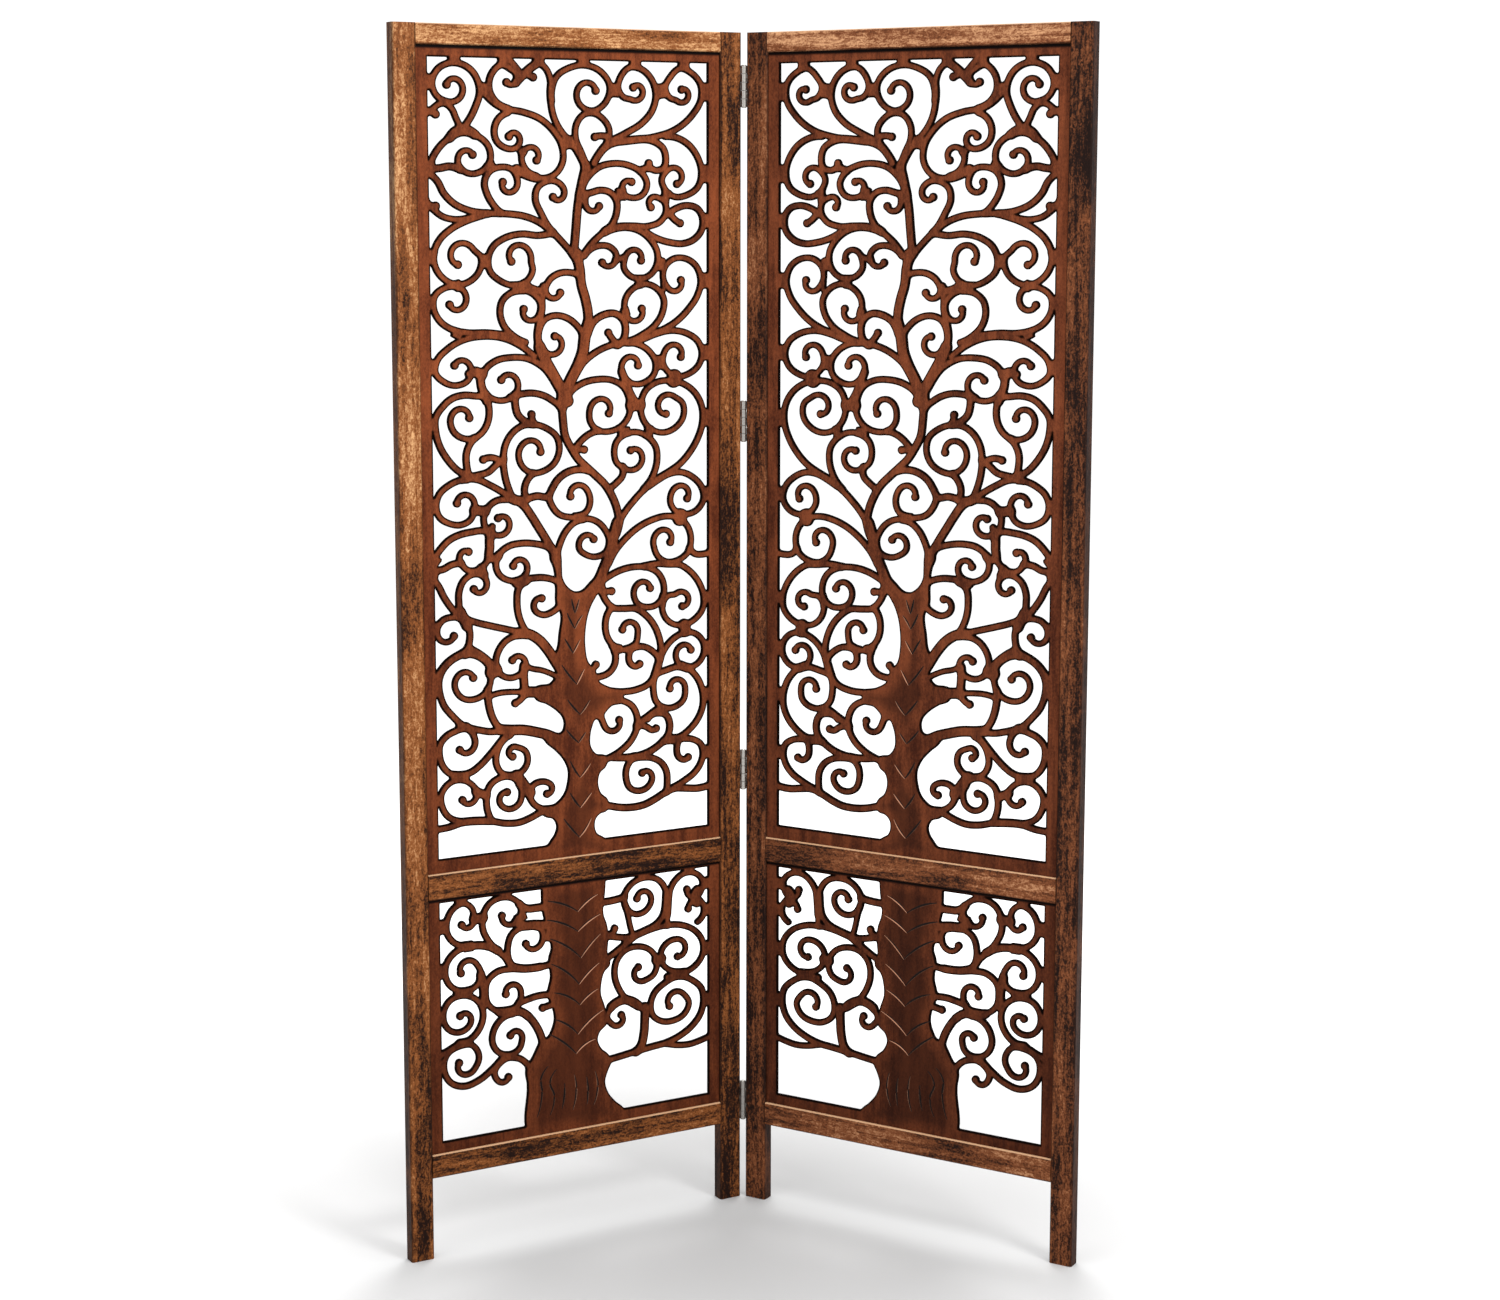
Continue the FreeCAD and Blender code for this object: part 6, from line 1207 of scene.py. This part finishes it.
floor_reach = 12
# The floor's painted shadow is full within the first reach and gone past the second
floor_shade_full_reach = 0.1
floor_shade_end_reach = 1.6
LAMPS = {
    "key": {"place": (2.2, -2.4, 3.0), "aim": (-0.2, 0, 1.0), "size": 1.2, "power": 80},
    "fill": {"place": (-2.6, -2.4, 2.2), "aim": (0.1, 0, 1.0), "size": 2.4, "power": 20},
    "back": {"place": (0.2, 2.0, 3.4), "aim": (0, 0, 0.4), "size": 1.6, "power": 60}}
world_strength = 1.12
image_width = 1500
image_height = 1300
focal_pixels = 2700
centre_across = 723.9
centre_down = 568.1
sensor_width = 36
camera_place = (0.037, -4.01, 1.597)
camera_pitch = 8
camera_turn = 0.93


def floor():
    """A pale matt floor, a little greyer near the screen: a painted shadow around the screen's foot."""
    mesh = bpy.data.meshes.new("floor")
    corners = [(-1, -1), (1, -1), (1, 1), (-1, 1)]
    mesh.from_pydata([(x * floor_reach, y * floor_reach, 0) for x, y in corners], [], [(0, 1, 2, 3)])
    finish = Finish("floor_matt")
    x, y, z = finish.axes(finish.node("ShaderNodeTexCoord").outputs["Object"])
    squares = [(finish.maths("MULTIPLY", axis, axis), 1.0) for axis in (x, y)]
    away = finish.maths("SQRT", finish.total(*squares))
    # Greyer near the screen: a painted shadow on the floor
    finish.shade(
        Base_Color=finish.blend(
            finish.ramp(away, low=floor_shade_full_reach, high=floor_shade_end_reach), floor_shade_grey, floor_far),
        Roughness=0.9, Specular_IOR_Level=0.1)
    mesh.materials.append(finish.material)
    made = add_object("floor", mesh)


def lamp(name, place, aim, size, power):
    """A soft round lamp that shines towards its aim."""
    data = bpy.data.lights.new(name, "AREA")
    data.shape = "DISK"
    data.size = size
    data.energy = power
    made = add_object(name, data)
    made.location = place
    made.rotation_euler = (Vector(aim) - Vector(place)).to_track_quat("-Z", "Y").to_euler()


floor()
for name, values in LAMPS.items():
    lamp(name, **values)

world = bpy.data.worlds.new("studio")
world.use_nodes = True
background = world.node_tree.nodes["Background"].inputs
background["Color"].default_value = white
background["Strength"].default_value = world_strength
bpy.context.scene.world = world
bpy.context.scene.view_settings.view_transform = "Standard"

camera_data = bpy.data.cameras.new("camera")
camera_data.sensor_width = sensor_width
camera_data.lens = focal_pixels / image_width * sensor_width
camera_data.shift_x = (image_width / 2 - centre_across) / image_width
camera_data.shift_y = (centre_down - image_height / 2) / image_width
camera = add_object("camera", camera_data)
camera.location = camera_place
camera.rotation_euler = (math.radians(90 - camera_pitch), 0, math.radians(camera_turn))
bpy.context.scene.camera = camera
